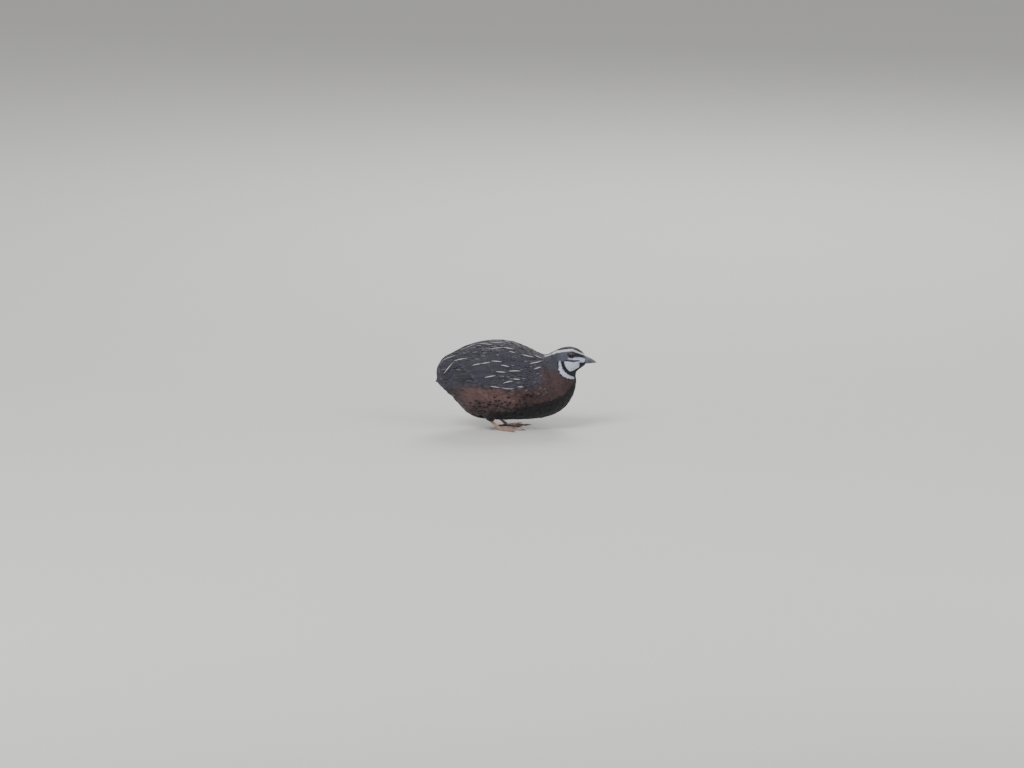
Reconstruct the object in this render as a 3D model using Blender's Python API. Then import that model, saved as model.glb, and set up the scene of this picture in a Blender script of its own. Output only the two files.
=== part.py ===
"""Life-size still model of a male harlequin quail in a low, hunched stance.

Metres, +Z up, +X towards the bill, +Y to the bird's left. The floor is z = 0.
"""

import math

import bmesh
import bpy
from mathutils import Matrix, Vector
from mathutils.bvhtree import BVHTree

MM = 0.001
GAP = 0.3 * MM

# The plumage outline, tail to bill, in millimetres. Each station is a leaning oval section:
# its top point (x, z), its bottom point (x, z), its half width, and how far the widest level
# stands above the middle, as a share of the half height.
OUTLINE = (
    ("rear tip", (-74.2, 55.0), (-74.6, 50.8), 3.2, 0.0),
    ("rear", (-71.4, 61.6), (-72.6, 44.8), 9.6, 0.05),
    ("tail root", (-65.6, 68.2), (-67.4, 37.6), 15.6, 0.08),
    ("rump", (-57.2, 73.4), (-59.6, 30.2), 20.6, 0.1),
    ("vent", (-46.0, 78.6), (-50.3, 19.8), 25.2, 0.1),
    ("loin", (-31.0, 82.8), (-38.0, 11.0), 28.6, 0.08),
    ("back", (-15.0, 84.2), (-15.0, 8.9), 30.2, 0.05),
    ("withers", (0.0, 82.0), (6.0, 8.7), 29.8, 0.0),
    ("shoulder", (11.8, 77.2), (27.5, 10.6), 28.2, -0.05),
    ("breast", (20.0, 72.8), (43.6, 17.8), 25.6, -0.08),
    ("crop", (25.4, 70.2), (52.9, 29.8), 22.0, -0.05),
    ("collar", (29.2, 70.2), (56.8, 43.0), 17.6, 0.0),
    ("throat", (32.8, 72.0), (56.2, 49.6), 13.8, 0.0),
    ("nape", (37.2, 74.4), (56.4, 53.2), 11.6, 0.0),
    ("ear", (43.2, 76.9), (57.8, 54.8), 10.9, 0.0),
    ("eye line", (50.2, 77.9), (59.8, 56.4), 10.3, 0.04),
    ("lore", (57.0, 76.4), (62.2, 58.2), 8.4, 0.0),
    ("forehead", (62.0, 73.2), (64.4, 59.8), 6.0, -0.06),
    ("bill base", (65.2, 69.4), (66.2, 61.0), 4.2, 0.0),
)
TAIL_CUT, NECK_CUT, HEAD_CUT = 3.0, 11.0, 13.0  # station numbers where the nodes are parted
BODY_SIDES, HEAD_SIDES = 36, 28
TAIL_STEPS, BODY_STEPS, NECK_STEPS, HEAD_STEPS = 6, 20, 4, 15  # sections along each node

EYE = Vector((52.4, 6.8, 70.7))
EYE_RADIUS = 3.7
LID_RADIUS, LID_THICK = 2.9, 0.55
LID_OUT = 0.72  # how far out from the eye's centre the lids stand, as a share of its radius
LID_FLAT = 0.88  # the opening's height as a share of its length
LID_SWEEP = 0.35  # the front corner of the eye lies this much deeper than its middle

BILL_LENGTH, BILL_OVERBITE = 9.8, 1.6
BILL_HOOK = 0.25  # how steeply the upper half's tip turns down past the lower one
MOUTH_Z = 63.7  # at the bill's base
MOUTH_SLOPE = math.radians(8)  # the line of the mouth runs forwards and down
# Each half of the bill: its way from the mouth, its length, then its half width and its depth as
# what the base has over the tip, the two powers of the taper between them, and the tip's own.
BILL_HALVES = {
    "upper": (1, BILL_LENGTH, (2.7, 1.7, 0.5, 0.35), (4.7, 1.5, 1.0, 0.4)),
    "lower": (-1, BILL_LENGTH - BILL_OVERBITE, (2.2, 1.6, 1.0, 0.45), (1.9, 1.4, 1.0, 0.4)),
}
NOSTRIL, NOSTRIL_RADII = Vector((69.2, 2.35, MOUTH_Z + 1.2)), (1.25, 0.6, 0.42)
GAPE, GAPE_SIZE = Vector((65.2, 0, MOUTH_Z + 0.1)), (6.4, 16, 0.45)  # the mouth's slit in the face
GAPE_SLOPE = math.radians(12)

WING_AXIS_Z = 49.0  # the line that the wing's angles turn about
WRIST_X, WING_LENGTH = 33.0, 92.0
WING_CLEAR = 0.45
WING_CORE = (3, 65)  # where the pad beneath the feathers starts and ends, back from the wrist
WING_CORE_THICK, WING_CORE_SWELL, WING_CORE_THIN = 0.7, 1.5, 0.55
WING_DEGREES = 1.9  # how far round the body one millimetre across the wing reaches
# Each tier of wing feathers: how many, the lowest one's root and tip, the highest one's root and
# tip, their half widths, and how high root and tip lie over the body. Roots and tips are
# millimetres back from the wrist and up from the side's middle.
WING_TIERS = (
    ("primary", 5, ((50, -2), (85, -1)), ((50, 2), (92, 4)), (3.8, 3.6), (1.3, 1.35)),
    ("secondary", 6, ((36, -2), (63, -3)), ((42, 16), (82, 20)), (4.8, 6.0), (1.5, 2.1)),
    ("greater", 7, ((18, -8), (41, -6)), ((30, 14), (58, 18)), (4.4, 5.2), (1.9, 2.8)),
    ("median", 6, ((9, -10), (27, -9)), ((19, 12), (42, 15)), (4.4, 4.8), (2.1, 3.3)),
    ("lesser", 4, ((3, -8), (16, -8)), ((8, 8), (26, 11)), (4.4, 4.6), (2.0, 3.3)),
    ("scapular", 5, ((16, 14), (38, 19)), ((38, 23), (68, 26)), (4.8, 5.4), (1.5, 2.7)),
)

# A vane's outline: rows of (share of its length, share of its half width)
VANE_ROWS = ((0.0, 0.5), (0.3, 0.85), (0.62, 1.0), (0.86, 0.78), (1.0, 0.22))
VANE_THICK, VANE_RIDGE = 0.55, 0.35
VANE_STAGGER = 0.12  # neighbours lie at slightly unlike heights

RUMP_CENTRE = Vector((-57.0, 0.0, 52.0))
TAIL_FEATHERS, TAIL_HALF_WIDTH = 8, 2.9
TAIL_ROOT, TAIL_TIP = Vector((-62.0, 0.0, 56.0)), Vector((-75.7, 0.0, 44.0))  # the middle pair
TAIL_ROOT_SPREAD, TAIL_TIP_SPREAD = 5.0, 11.0
TAIL_DROOP, TAIL_ROUND = 2.0, 2.6  # the outer feathers differ from the middle pair by these
# Each row of tail coverts: how many, the half arc that it spans and its middle in degrees of
# roll from the top, the angles of root and tip off the tail's axis, half width, and lifts.
TAIL_COVERTS = (
    ("covert_long", 6, 80, 0, (62, 14), 4.2, (0.0, 0.9)),
    ("covert_short", 7, 104, 0, (80, 40), 4.6, (0.0, 1.2)),
    ("vent_covert", 5, 54, 180, (78, 24), 4.4, (0.0, 1.0)),
)

STANCE = 12.5  # half the distance between the feet
STEP = {"left": 3.0, "right": -3.0}
FOOT_X = -13.0
ANKLE_Z, ANKLE_RADIUS = 2.3, 2.0
TARSUS_TOP_Z, TARSUS_RADIUS = 8.3, 1.35
TARSUS_LEAN = math.radians(42)
TARSUS_FLARE = 1.18  # how much wider its two ends are
TARSUS_SHORT = ANKLE_RADIUS + 0.35  # where it starts, clear of the foot
TOES = (  # name, heading in degrees outwards from forwards, length, root radius, claw
    ("middle", 4, 21.0, 1.35, 4.6),
    ("inner", -32, 15.5, 1.25, 3.8),
    ("outer", 38, 16.5, 1.25, 3.8),
    ("hind", -168, 6.5, 1.0, 2.4),
)
TOE_TAPER, TOE_PADS, TOE_SWELL = 0.38, 3, 0.13
TOE_RIDE = 0.75  # height of a toe's middle line, as a share of its radius
CLAW_ROOT, CLAW_TIP, CLAW_ARCH, CLAW_DROP = 0.46, 0.16, 0.35, 0.72
THIGH_HIP = Vector((-4.5, 1.0, 14.0))  # from the top of the tarsus
THIGH_RADII = (2.6, 5.2, 7.5)

COLOURS = {  # base colour, roughness
    "back": ((0.07, 0.062, 0.068), 0.85),
    "breast": ((0.045, 0.03, 0.028), 0.85),
    "face": ((0.42, 0.42, 0.48), 0.85),
    "wing": ((0.085, 0.08, 0.09), 0.8),
    "tail": ((0.06, 0.052, 0.052), 0.8),
    "bill": ((0.06, 0.062, 0.075), 0.4),
    "eye": ((0.03, 0.014, 0.01), 0.08),
    "leg": ((0.42, 0.27, 0.22), 0.55),
    "flank": ((0.19, 0.08, 0.05), 0.85),
}


def clear_scene():
    for obj in list(bpy.data.objects):
        bpy.data.objects.remove(obj, do_unlink=True)


def material(name):
    made = bpy.data.materials.get(name)
    if made:
        return made
    colour, roughness = COLOURS[name]
    made = bpy.data.materials.new(name)
    made.use_nodes = True
    shader = made.node_tree.nodes["Principled BSDF"]
    shader.inputs["Base Color"].default_value = (*colour, 1)
    shader.inputs["Roughness"].default_value = roughness
    shader.inputs["Metallic"].default_value = 0.0
    return made


def collection(name):
    made = bpy.data.collections.new(name)
    bpy.context.scene.collection.children.link(made)
    return made


def add_object(name, bm, where, paint, smooth=True):
    """A named object from a bmesh in millimetres, with its normals turned outwards."""
    bmesh.ops.recalc_face_normals(bm, faces=bm.faces)
    bmesh.ops.scale(bm, vec=(MM, MM, MM), verts=bm.verts)
    mesh = bpy.data.meshes.new(name)
    bm.to_mesh(mesh)
    bm.free()
    mesh.materials.append(material(paint))
    if smooth:
        mesh.shade_smooth()
        mesh.set_sharp_from_angle(angle=math.radians(50))
    obj = bpy.data.objects.new(name, mesh)
    where.objects.link(obj)
    return obj


def loft(bm, rings):
    """Bridges closed rings of points and caps both ends.

    Quads on the two halves of a ring are split the opposite way round, so that the upper and
    the lower face of a thin vane have the same diagonals.
    """
    made = [[bm.verts.new(p) for p in ring] for ring in rings]
    count = len(rings[0])
    for low, high in zip(made, made[1:]):
        for i in range(count):
            a, b, c, d = low[i], low[(i + 1) % count], high[(i + 1) % count], high[i]
            if i < count / 2:
                bm.faces.new((a, b, c))
                bm.faces.new((a, c, d))
            else:
                bm.faces.new((a, b, d))
                bm.faces.new((b, c, d))
    bm.faces.new(made[0][::-1])
    bm.faces.new(made[-1])


def spline(values, at):
    """Catmull-Rom value at a fractional index of a list of numbers or vectors."""
    k = min(int(at), len(values) - 2)
    t = at - k
    a = values[max(k - 1, 0)]
    b, c = values[k], values[k + 1]
    d = values[min(k + 2, len(values) - 1)]
    return (
        b
        + (c - a) * (0.5 * t)
        + (a * 2 - b * 5 + c * 4 - d) * (0.5 * t * t)
        + (b * 3 - a - c * 3 + d) * (0.5 * t * t * t)
    )


TOPS = [Vector((top[0], 0, top[1])) for _, top, _, _, _ in OUTLINE]
BOTTOMS = [Vector((low[0], 0, low[1])) for _, _, low, _, _ in OUTLINE]
WIDTHS = [width for _, _, _, width, _ in OUTLINE]
LEVELS = [level for _, _, _, _, level in OUTLINE]


def section(at, sides, grow=0.0, shift=0.0):
    """One leaning oval of the plumage outline, grown all round and shifted along its normal."""
    top, bottom = spline(TOPS, at), spline(BOTTOMS, at)
    centre, up = (top + bottom) / 2, (top - bottom) / 2
    high = up.normalized()
    ahead = Vector((0, 1, 0)).cross(high)
    half, width = up.length + grow, spline(WIDTHS, at) + grow
    ring = []
    for i in range(sides):
        angle = 2 * math.pi * i / sides
        side, rise = math.sin(angle), math.cos(angle)
        rise += spline(LEVELS, at) * side * side
        ring.append(centre + high * (half * rise) + Vector((0, width * side, 0)) + ahead * shift)
    return ring


def outline_span(first, last, steps, sides, grow=0.0, gap_first=True, gap_last=True):
    """A closed stretch of the outline between two station numbers, drawn back by half the gap."""
    half_gap = GAP / MM / 2
    rings = []
    for i in range(steps + 1):
        shift = 0.0
        if i == 0 and gap_first:
            shift = half_gap
        if i == steps and gap_last:
            shift = -half_gap
        rings.append(section(first + (last - first) * i / steps, sides, grow, shift))
    bm = bmesh.new()
    loft(bm, rings)
    return bm


def join(obj, pieces, operation="UNION"):
    """Applies one Boolean of a collection of closed meshes to an object, then removes them."""
    tools = collection(obj.name + "_pieces")
    tools.hide_render = True
    for piece in pieces:
        for owner in list(piece.users_collection):
            owner.objects.unlink(piece)
        tools.objects.link(piece)
        piece.hide_render = True
        piece.display_type = "WIRE"
    boolean = obj.modifiers.new("join", "BOOLEAN")
    boolean.operand_type = "COLLECTION"
    boolean.collection = tools
    boolean.operation = operation
    boolean.solver = "MANIFOLD"
    bpy.context.view_layer.update()
    graph = bpy.context.evaluated_depsgraph_get()
    joined = bpy.data.meshes.new_from_object(obj.evaluated_get(graph))
    obj.modifiers.remove(boolean)
    old, obj.data = obj.data, joined
    joined.name = old.name
    for piece in list(tools.objects):
        bpy.data.objects.remove(piece, do_unlink=True)
    bpy.data.collections.remove(tools)
    keep_largest(obj)


def keep_largest(obj):
    """Leaves the object only its largest closed surface."""
    bm = bmesh.new()
    bm.from_mesh(obj.data)
    left = set(bm.verts)
    shells = []
    while left:
        found, edge = set(), [left.pop()]
        while edge:
            vert = edge.pop()
            found.add(vert)
            for link in vert.link_edges:
                other = link.other_vert(vert)
                if other in left:
                    left.remove(other)
                    edge.append(other)
        shells.append(found)
    shells.sort(key=lambda verts: -sum(f.calc_area() for v in verts for f in v.link_faces))
    for shell in shells[1:]:
        bmesh.ops.delete(bm, geom=list(shell), context="VERTS")
    bm.to_mesh(obj.data)
    bm.free()


def surface_tree(obj):
    bm = bmesh.new()
    bm.from_mesh(obj.data)
    bmesh.ops.scale(bm, vec=(1 / MM, 1 / MM, 1 / MM), verts=bm.verts)
    bmesh.ops.triangulate(bm, faces=bm.faces)
    tree = BVHTree.FromBMesh(bm)
    bm.free()
    return tree


def on_body(tree, x, angle, lift):
    """The point over the body at this length and angle up from the side, at a height over it."""
    out = Vector((0, math.cos(angle), math.sin(angle)))
    axis = Vector((x, 0, WING_AXIS_Z))
    hit, normal, _, _ = tree.ray_cast(axis + out * 80, -out)
    if hit is None:
        hit, normal, _, _ = tree.find_nearest(axis + out * 20)
    return hit + (normal * 0.5 + out * 0.5).normalized() * lift


def vane(place, root, tip, half_width, root_lift, tip_lift):
    """A flat vane with a raised shaft, laid over a surface by place(along, across, lift).

    Root and tip are (along, across) pairs in millimetres of the surface's own measure.
    """
    bm = bmesh.new()
    start, end = Vector(root), Vector(tip)
    course = (end - start).normalized()
    across = Vector((-course.y, course.x))
    rings = []
    for t, share in VANE_ROWS:
        middle = start.lerp(end, t)
        left, right = (middle + across * (side * half_width * share) for side in (1, -1))
        lift = root_lift + (tip_lift - root_lift) * t
        rings.append(
            (
                place(left.x, left.y, lift),
                place(middle.x, middle.y, lift + VANE_RIDGE),
                place(right.x, right.y, lift),
                place(right.x, right.y, lift - VANE_THICK),
                place(left.x, left.y, lift - VANE_THICK),
            )
        )
    loft(bm, rings)
    return bm


def tier(name, where, paint, place, count, first, last, half_widths, lifts):
    """A row of vanes, spaced evenly between the (root, tip) pairs of its first and last."""
    made = []
    for i in range(count):
        t = i / max(count - 1, 1)
        root = [a + (b - a) * t for a, b in zip(first[0], last[0])]
        tip = [a + (b - a) * t for a, b in zip(first[1], last[1])]
        width = half_widths[0] + (half_widths[1] - half_widths[0]) * t
        rise = VANE_STAGGER * (i % 2)
        bm = vane(place, root, tip, width, lifts[0] + rise, lifts[1] + rise)
        made.append(add_object(f"{name}_{i}", bm, where, paint))
    return made


def make_torso(parts):
    bm = outline_span(TAIL_CUT, NECK_CUT, BODY_STEPS, BODY_SIDES)
    return add_object("torso", bm, parts, "back")


def make_neck(parts):
    bm = outline_span(NECK_CUT, HEAD_CUT, NECK_STEPS, HEAD_SIDES)
    return add_object("neck", bm, parts, "breast")


def ball(centre, radius, segments, rings):
    bm = bmesh.new()
    bmesh.ops.create_uvsphere(bm, u_segments=segments, v_segments=rings, radius=radius)
    bmesh.ops.translate(bm, vec=centre, verts=bm.verts)
    return bm


def lid_ring(centre):
    """Both lids as one thin almond-shaped ring that stands on the head round the eye."""
    around, sides = 16, 6
    bm = bmesh.new()
    rings = []
    for i in range(around):
        angle = 2 * math.pi * (i + 0.5) / around
        out = Vector((math.cos(angle), 0, LID_FLAT * math.sin(angle)))
        ring = []
        for j in range(sides):
            turn = 2 * math.pi * (j + 0.25) / sides
            reach = LID_RADIUS + LID_THICK * math.cos(turn)
            depth = LID_THICK * math.sin(turn) - LID_SWEEP * math.cos(angle)
            outwards = Vector((0, math.copysign(1, centre.y), 0))
            ring.append(bm.verts.new(centre + out * reach + outwards * depth))
        rings.append(ring)
    for i in range(around):
        low, high = rings[i], rings[(i + 1) % around]
        for j in range(sides):
            bm.faces.new((low[j], low[(j + 1) % sides], high[(j + 1) % sides], high[j]))
    return bm


def make_head(parts):
    last = len(OUTLINE) - 1
    bm = outline_span(HEAD_CUT, last, HEAD_STEPS, HEAD_SIDES, gap_last=False)
    head = add_object("head", bm, parts, "face")
    lids, sockets = [], []
    for side in (1, -1):
        centre = Vector((EYE.x, EYE.y * side, EYE.z))
        rim = Vector((EYE.x, (EYE.y + EYE_RADIUS * LID_OUT) * side, EYE.z))
        lids.append(add_object(f"lids_{side}", lid_ring(rim), parts, "face"))
        socket = ball(centre, EYE_RADIUS + GAP / MM, 18, 10)
        sockets.append(add_object(f"socket_{side}", socket, parts, "face"))
    gape = bmesh.new()
    bmesh.ops.create_cube(gape, size=1)
    bmesh.ops.scale(gape, vec=GAPE_SIZE, verts=gape.verts)
    bmesh.ops.rotate(gape, matrix=Matrix.Rotation(GAPE_SLOPE, 3, "Y"), verts=gape.verts)
    bmesh.ops.translate(gape, vec=GAPE, verts=gape.verts)
    slit = add_object("gape", gape, parts, "face", smooth=False)
    join(head, lids)
    join(head, sockets + [slit], operation="DIFFERENCE")
    return head


def make_eyes(parts):
    for side, word in ((1, "left"), (-1, "right")):
        centre = Vector((EYE.x, EYE.y * side, EYE.z))
        add_object(f"eye_{word}", ball(centre, EYE_RADIUS, 18, 10), parts, "eye")


def taper(t, base, fall, bluntness, tip):
    """A size that falls from base + tip at t = 0 to tip at t = 1."""
    return base * (1 - t**fall) ** bluntness + tip


def bill_half(which, steps=7, sides=6):
    """The upper or lower mandible as a loft of half ovals that runs out to the tip."""
    way, length, half_width, half_depth = BILL_HALVES[which]
    lean = (BOTTOMS[-1].x - TOPS[-1].x) / (TOPS[-1].z - BOTTOMS[-1].z)
    base_x = TOPS[-1].x + lean * (TOPS[-1].z - MOUTH_Z) + GAP / MM
    rings = []
    for i in range(steps + 1):
        t = i / steps
        width, depth = taper(t, *half_width), taper(t, *half_depth)
        hook = max(length * t - (BILL_LENGTH - BILL_OVERBITE), 0) * BILL_HOOK
        edge = MOUTH_Z - math.tan(MOUTH_SLOPE) * length * t - hook + way * GAP / MM / 2
        ring = []
        for k in range(sides + 1):
            angle = math.pi * k / sides
            z = edge + way * depth * math.sin(angle)
            x = base_x + length * t - lean * (z - MOUTH_Z) * (1 - t)
            ring.append(Vector((x, width * math.cos(angle), z)))
        rings.append(ring)
    bm = bmesh.new()
    loft(bm, rings)
    return bm


def make_bill(parts):
    upper = add_object("bill_upper", bill_half("upper"), parts, "bill")
    nostrils = []
    for side in (1, -1):
        pit = ball(Vector(), 1.0, 10, 6)
        bmesh.ops.scale(pit, vec=NOSTRIL_RADII, verts=pit.verts)
        bmesh.ops.translate(pit, vec=(NOSTRIL.x, NOSTRIL.y * side, NOSTRIL.z), verts=pit.verts)
        nostrils.append(add_object(f"nostril_{side}", pit, parts, "bill"))
    join(upper, nostrils, operation="DIFFERENCE")
    add_object("bill_lower", bill_half("lower"), parts, "bill")


def wing_edges(x):
    """The lowest and highest angle of the folded wing at this length, in degrees."""
    t = (WRIST_X - x) / WING_LENGTH
    low = -24 + 18 * math.sin(math.pi * min(t * 1.7, 1) * 0.5)
    high = 26 + 34 * math.sin(math.pi * min(max(t, 0) * 1.4, 1) * 0.5)
    return low, high


def wing_core(place, steps=9, columns=6):
    """The folded wing's flesh and underlying feathers, a thin pad over the body's side."""
    rings = []
    for i in range(steps + 1):
        t = i / steps
        along = WING_CORE[0] + (WING_CORE[1] - WING_CORE[0]) * t
        low, high = wing_edges(WRIST_X - along)
        pinch = 0.35 + 0.65 * math.sqrt(math.sin(math.pi * min(t * 1.6 + 0.01, 0.5)))
        outer, inner = [], []
        for j in range(columns + 1):
            s = j / columns
            angle = (low + high) / 2 + (high - low) * (s - 0.5) * pinch
            swell = math.sin(math.pi * s) ** 0.6
            thick = WING_CORE_THICK + WING_CORE_SWELL * swell * (1 - WING_CORE_THIN * t)
            outer.append(place(along, angle / WING_DEGREES, WING_CLEAR + thick))
            inner.append(place(along, angle / WING_DEGREES, WING_CLEAR))
        rings.append(outer + inner[::-1])
    bm = bmesh.new()
    loft(bm, rings)
    return bm


def make_wing(parts, tree, side, word):
    """A folded wing: a thin core over the body's side with its feathers in tiers."""

    def place(along, across, lift):
        point = on_body(tree, WRIST_X - along, math.radians(across * WING_DEGREES), lift)
        return Vector((point.x, point.y * side, point.z))

    wing = add_object(f"wing_{word}", wing_core(place), parts, "wing")
    vanes = []
    for name, count, first, last, half_widths, lifts in WING_TIERS:
        vanes += tier(name, parts, "wing", place, count, first, last, half_widths, lifts)
    join(wing, vanes)


def cap_place(tree, root, tip):
    """A place function for vanes that run over the rump's rear cap from one point to another."""
    course = (tip - root).normalized()
    across = course.cross((root + tip) / 2 - RUMP_CENTRE).normalized()

    def place(along, side, lift):
        target = root + course * along + across * side
        out = (target - RUMP_CENTRE).normalized()
        hit, normal, _, _ = tree.ray_cast(RUMP_CENTRE + out * 60, -out)
        return hit + (normal + out).normalized() * lift

    return place


def cap_point(tree, polar, roll):
    """The cap's point at this angle off the tail's axis and this roll round it from the top."""
    out = Vector(
        (-math.cos(polar), math.sin(polar) * math.sin(roll), math.sin(polar) * math.cos(roll))
    )
    hit, _, _, _ = tree.ray_cast(RUMP_CENTRE + out * 60, -out)
    return hit


def free_vane(root, tip, half_width, roll, lift=0.2):
    """A straight vane in the air, rolled outwards towards the side of a fan."""
    course = (tip - root).normalized()
    across = course.cross(Vector((0, math.sin(roll * 0.9), math.cos(roll * 0.9)))).normalized()
    up = across.cross(course)

    def place(along, side, rise):
        return root + course * along + across * side + up * rise

    return vane(place, (0, 0), ((tip - root).length, 0), half_width, lift, lift)


def make_tail(parts):
    """The rump's rear cap, with the tail feathers and the coverts over and under them."""
    bm = outline_span(0.0, TAIL_CUT, TAIL_STEPS, BODY_SIDES, gap_first=False)
    tail = add_object("tail", bm, parts, "tail")
    tree = surface_tree(tail)
    vanes = []
    for i in range(TAIL_FEATHERS):
        spread = 2 * i / (TAIL_FEATHERS - 1) - 1
        droop = Vector((0, 0, abs(spread) * TAIL_DROOP))
        root = TAIL_ROOT + Vector((0, spread * TAIL_ROOT_SPREAD, 0)) - droop
        tip = TAIL_TIP + Vector((TAIL_ROUND * spread**2, spread * TAIL_TIP_SPREAD, 0)) + droop
        bm = free_vane(root, tip, TAIL_HALF_WIDTH, spread)
        vanes.append(add_object(f"rectrix_{i}", bm, parts, "tail"))
    for name, count, half_arc, middle, polars, half_width, lifts in TAIL_COVERTS:
        for i in range(count):
            roll = math.radians(middle + half_arc * (2 * i / (count - 1) - 1))
            root = cap_point(tree, math.radians(polars[0]), roll)
            tip = cap_point(tree, math.radians(polars[1]), roll)
            place = cap_place(tree, root, tip)
            rise = VANE_STAGGER * (i % 2)
            ends = ((0, 0), ((tip - root).length, 0))
            bm = vane(place, *ends, half_width, lifts[0] + rise, lifts[1] + rise)
            vanes.append(add_object(f"{name}_{i}", bm, parts, "tail"))
    join(tail, vanes)


def tube(points, radii, sides=8):
    """A round limb along a list of points, with one radius for each."""
    rings = []
    for i, point in enumerate(points):
        before, after = points[max(i - 1, 0)], points[min(i + 1, len(points) - 1)]
        course = (after - before).normalized()
        across = course.cross(Vector((0, 0, 1)))
        across = across.normalized() if across.length > 1e-6 else Vector((0, 1, 0))
        up = across.cross(course)
        ring = []
        for k in range(sides):
            angle = 2 * math.pi * (k + 0.5) / sides
            ring.append(point + (across * math.cos(angle) + up * math.sin(angle)) * radii[i])
        rings.append(ring)
    bm = bmesh.new()
    loft(bm, rings)
    return bm


def toe(knob, heading, length, radius, claw, steps=8, claw_steps=4):
    """One toe with its pads and its claw, flat underneath at floor level."""
    ahead = Vector((math.cos(heading), math.sin(heading), 0))
    points, radii = [], []
    for i in range(steps + 1):
        t = i / steps
        pad = TOE_SWELL * math.cos(2 * math.pi * TOE_PADS * t)
        thick = radius * (1 - TOE_TAPER * t) * (1 + pad * (0.3 + 0.7 * t))
        points.append(knob + ahead * (length * t) + Vector((0, 0, thick * TOE_RIDE - knob.z)))
        radii.append(thick)
    tip = points[-1]
    for i in range(1, claw_steps + 1):
        t = i / claw_steps
        drop = Vector((0, 0, CLAW_ARCH * math.sin(math.pi * t) - tip.z * CLAW_DROP * t))
        points.append(tip + ahead * (claw * t) + drop)
        radii.append(radius * CLAW_ROOT * (1 - t) + CLAW_TIP)
    return tube(points, radii)


def cut_level(bm, height, keep_above):
    """Takes off what is below or above a height and closes the cut with one flat face."""
    geometry = bm.verts[:] + bm.edges[:] + bm.faces[:]
    bmesh.ops.bisect_plane(
        bm,
        geom=geometry,
        plane_co=(0, 0, height),
        plane_no=(0, 0, 1),
        clear_inner=keep_above,
        clear_outer=not keep_above,
    )
    bmesh.ops.holes_fill(bm, edges=[e for e in bm.edges if e.is_boundary])


def make_foot(parts, knob, side, word):
    """The toes joined at the ankle's knob and trimmed flat at floor level."""
    foot = add_object(f"foot_{word}", ball(knob, ANKLE_RADIUS, 10, 6), parts, "leg")
    toes = []
    for name, heading, length, radius, claw in TOES:
        bm = toe(knob, math.radians(heading) * side, length, radius, claw)
        toes.append(add_object(f"toe_{name}", bm, parts, "leg"))
    join(foot, toes)
    trimmed = bmesh.new()
    trimmed.from_mesh(foot.data)
    bmesh.ops.scale(trimmed, vec=(1 / MM, 1 / MM, 1 / MM), verts=trimmed.verts)
    cut_level(trimmed, 0.0, keep_above=True)
    bmesh.ops.scale(trimmed, vec=(MM, MM, MM), verts=trimmed.verts)
    trimmed.to_mesh(foot.data)
    trimmed.free()


def make_leg(parts, side, word):
    knob = Vector((FOOT_X + STEP[word], STANCE * side, ANKLE_Z))
    make_foot(parts, knob, side, word)

    rise = TARSUS_TOP_Z - ANKLE_Z
    top = knob + Vector((-rise / math.tan(TARSUS_LEAN), side * 0.5, rise))
    course = (top - knob).normalized()
    wide = TARSUS_RADIUS * TARSUS_FLARE
    shank = tube(
        [knob + course * TARSUS_SHORT, knob + course * 4.5, top - course * 1.5, top + course * 2],
        [wide, TARSUS_RADIUS, TARSUS_RADIUS, wide],
        12,
    )
    cut_level(shank, TARSUS_TOP_Z, keep_above=False)
    add_object(f"tarsus_{word}", shank, parts, "leg")

    hip = top + Vector((THIGH_HIP.x, THIGH_HIP.y * side, THIGH_HIP.z))
    heel = top - Vector((-0.6, 0, 1))
    cuff = tube([heel, top.lerp(hip, 0.35), hip], THIGH_RADII, 16)
    cut_level(cuff, TARSUS_TOP_Z + GAP / MM, keep_above=True)
    thigh = add_object(f"thigh_{word}", cuff, parts, "flank")
    shell = outline_span(TAIL_CUT, NECK_CUT, BODY_STEPS, BODY_SIDES, grow=GAP / MM + 0.05)
    join(thigh, [add_object("clearance", shell, parts, "flank")], operation="DIFFERENCE")


def main():
    clear_scene()
    parts = collection("harlequin_quail")
    torso = make_torso(parts)
    make_neck(parts)
    make_head(parts)
    make_eyes(parts)
    make_bill(parts)
    tree = surface_tree(torso)
    for side, word in ((1, "left"), (-1, "right")):
        make_wing(parts, tree, side, word)
        make_leg(parts, side, word)
    make_tail(parts)


main()
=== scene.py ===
# Looks of the harlequin quail: skin, feathers, eyes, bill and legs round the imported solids.
# Lengths inside the functions are millimetres; meshes are scaled to metres when they are made.
import math

import bmesh
import bpy
import numpy as np
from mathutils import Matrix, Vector
from mathutils.bvhtree import BVHTree
from mathutils.kdtree import KDTree


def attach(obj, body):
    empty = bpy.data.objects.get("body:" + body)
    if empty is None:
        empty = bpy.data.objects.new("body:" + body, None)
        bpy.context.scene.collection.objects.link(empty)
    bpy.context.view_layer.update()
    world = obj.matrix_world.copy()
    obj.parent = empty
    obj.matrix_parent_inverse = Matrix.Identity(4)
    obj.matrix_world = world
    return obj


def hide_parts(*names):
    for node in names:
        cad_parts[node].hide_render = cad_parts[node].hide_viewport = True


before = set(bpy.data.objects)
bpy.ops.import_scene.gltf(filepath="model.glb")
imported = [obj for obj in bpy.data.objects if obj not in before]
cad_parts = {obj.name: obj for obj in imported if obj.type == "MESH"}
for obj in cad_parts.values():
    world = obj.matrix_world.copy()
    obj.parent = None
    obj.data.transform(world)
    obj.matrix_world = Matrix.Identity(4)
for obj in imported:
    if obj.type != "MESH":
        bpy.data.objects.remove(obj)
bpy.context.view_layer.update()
mm = 0.001
up = Vector((0, 0, 1))
chance = np.random.default_rng(41)

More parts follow.
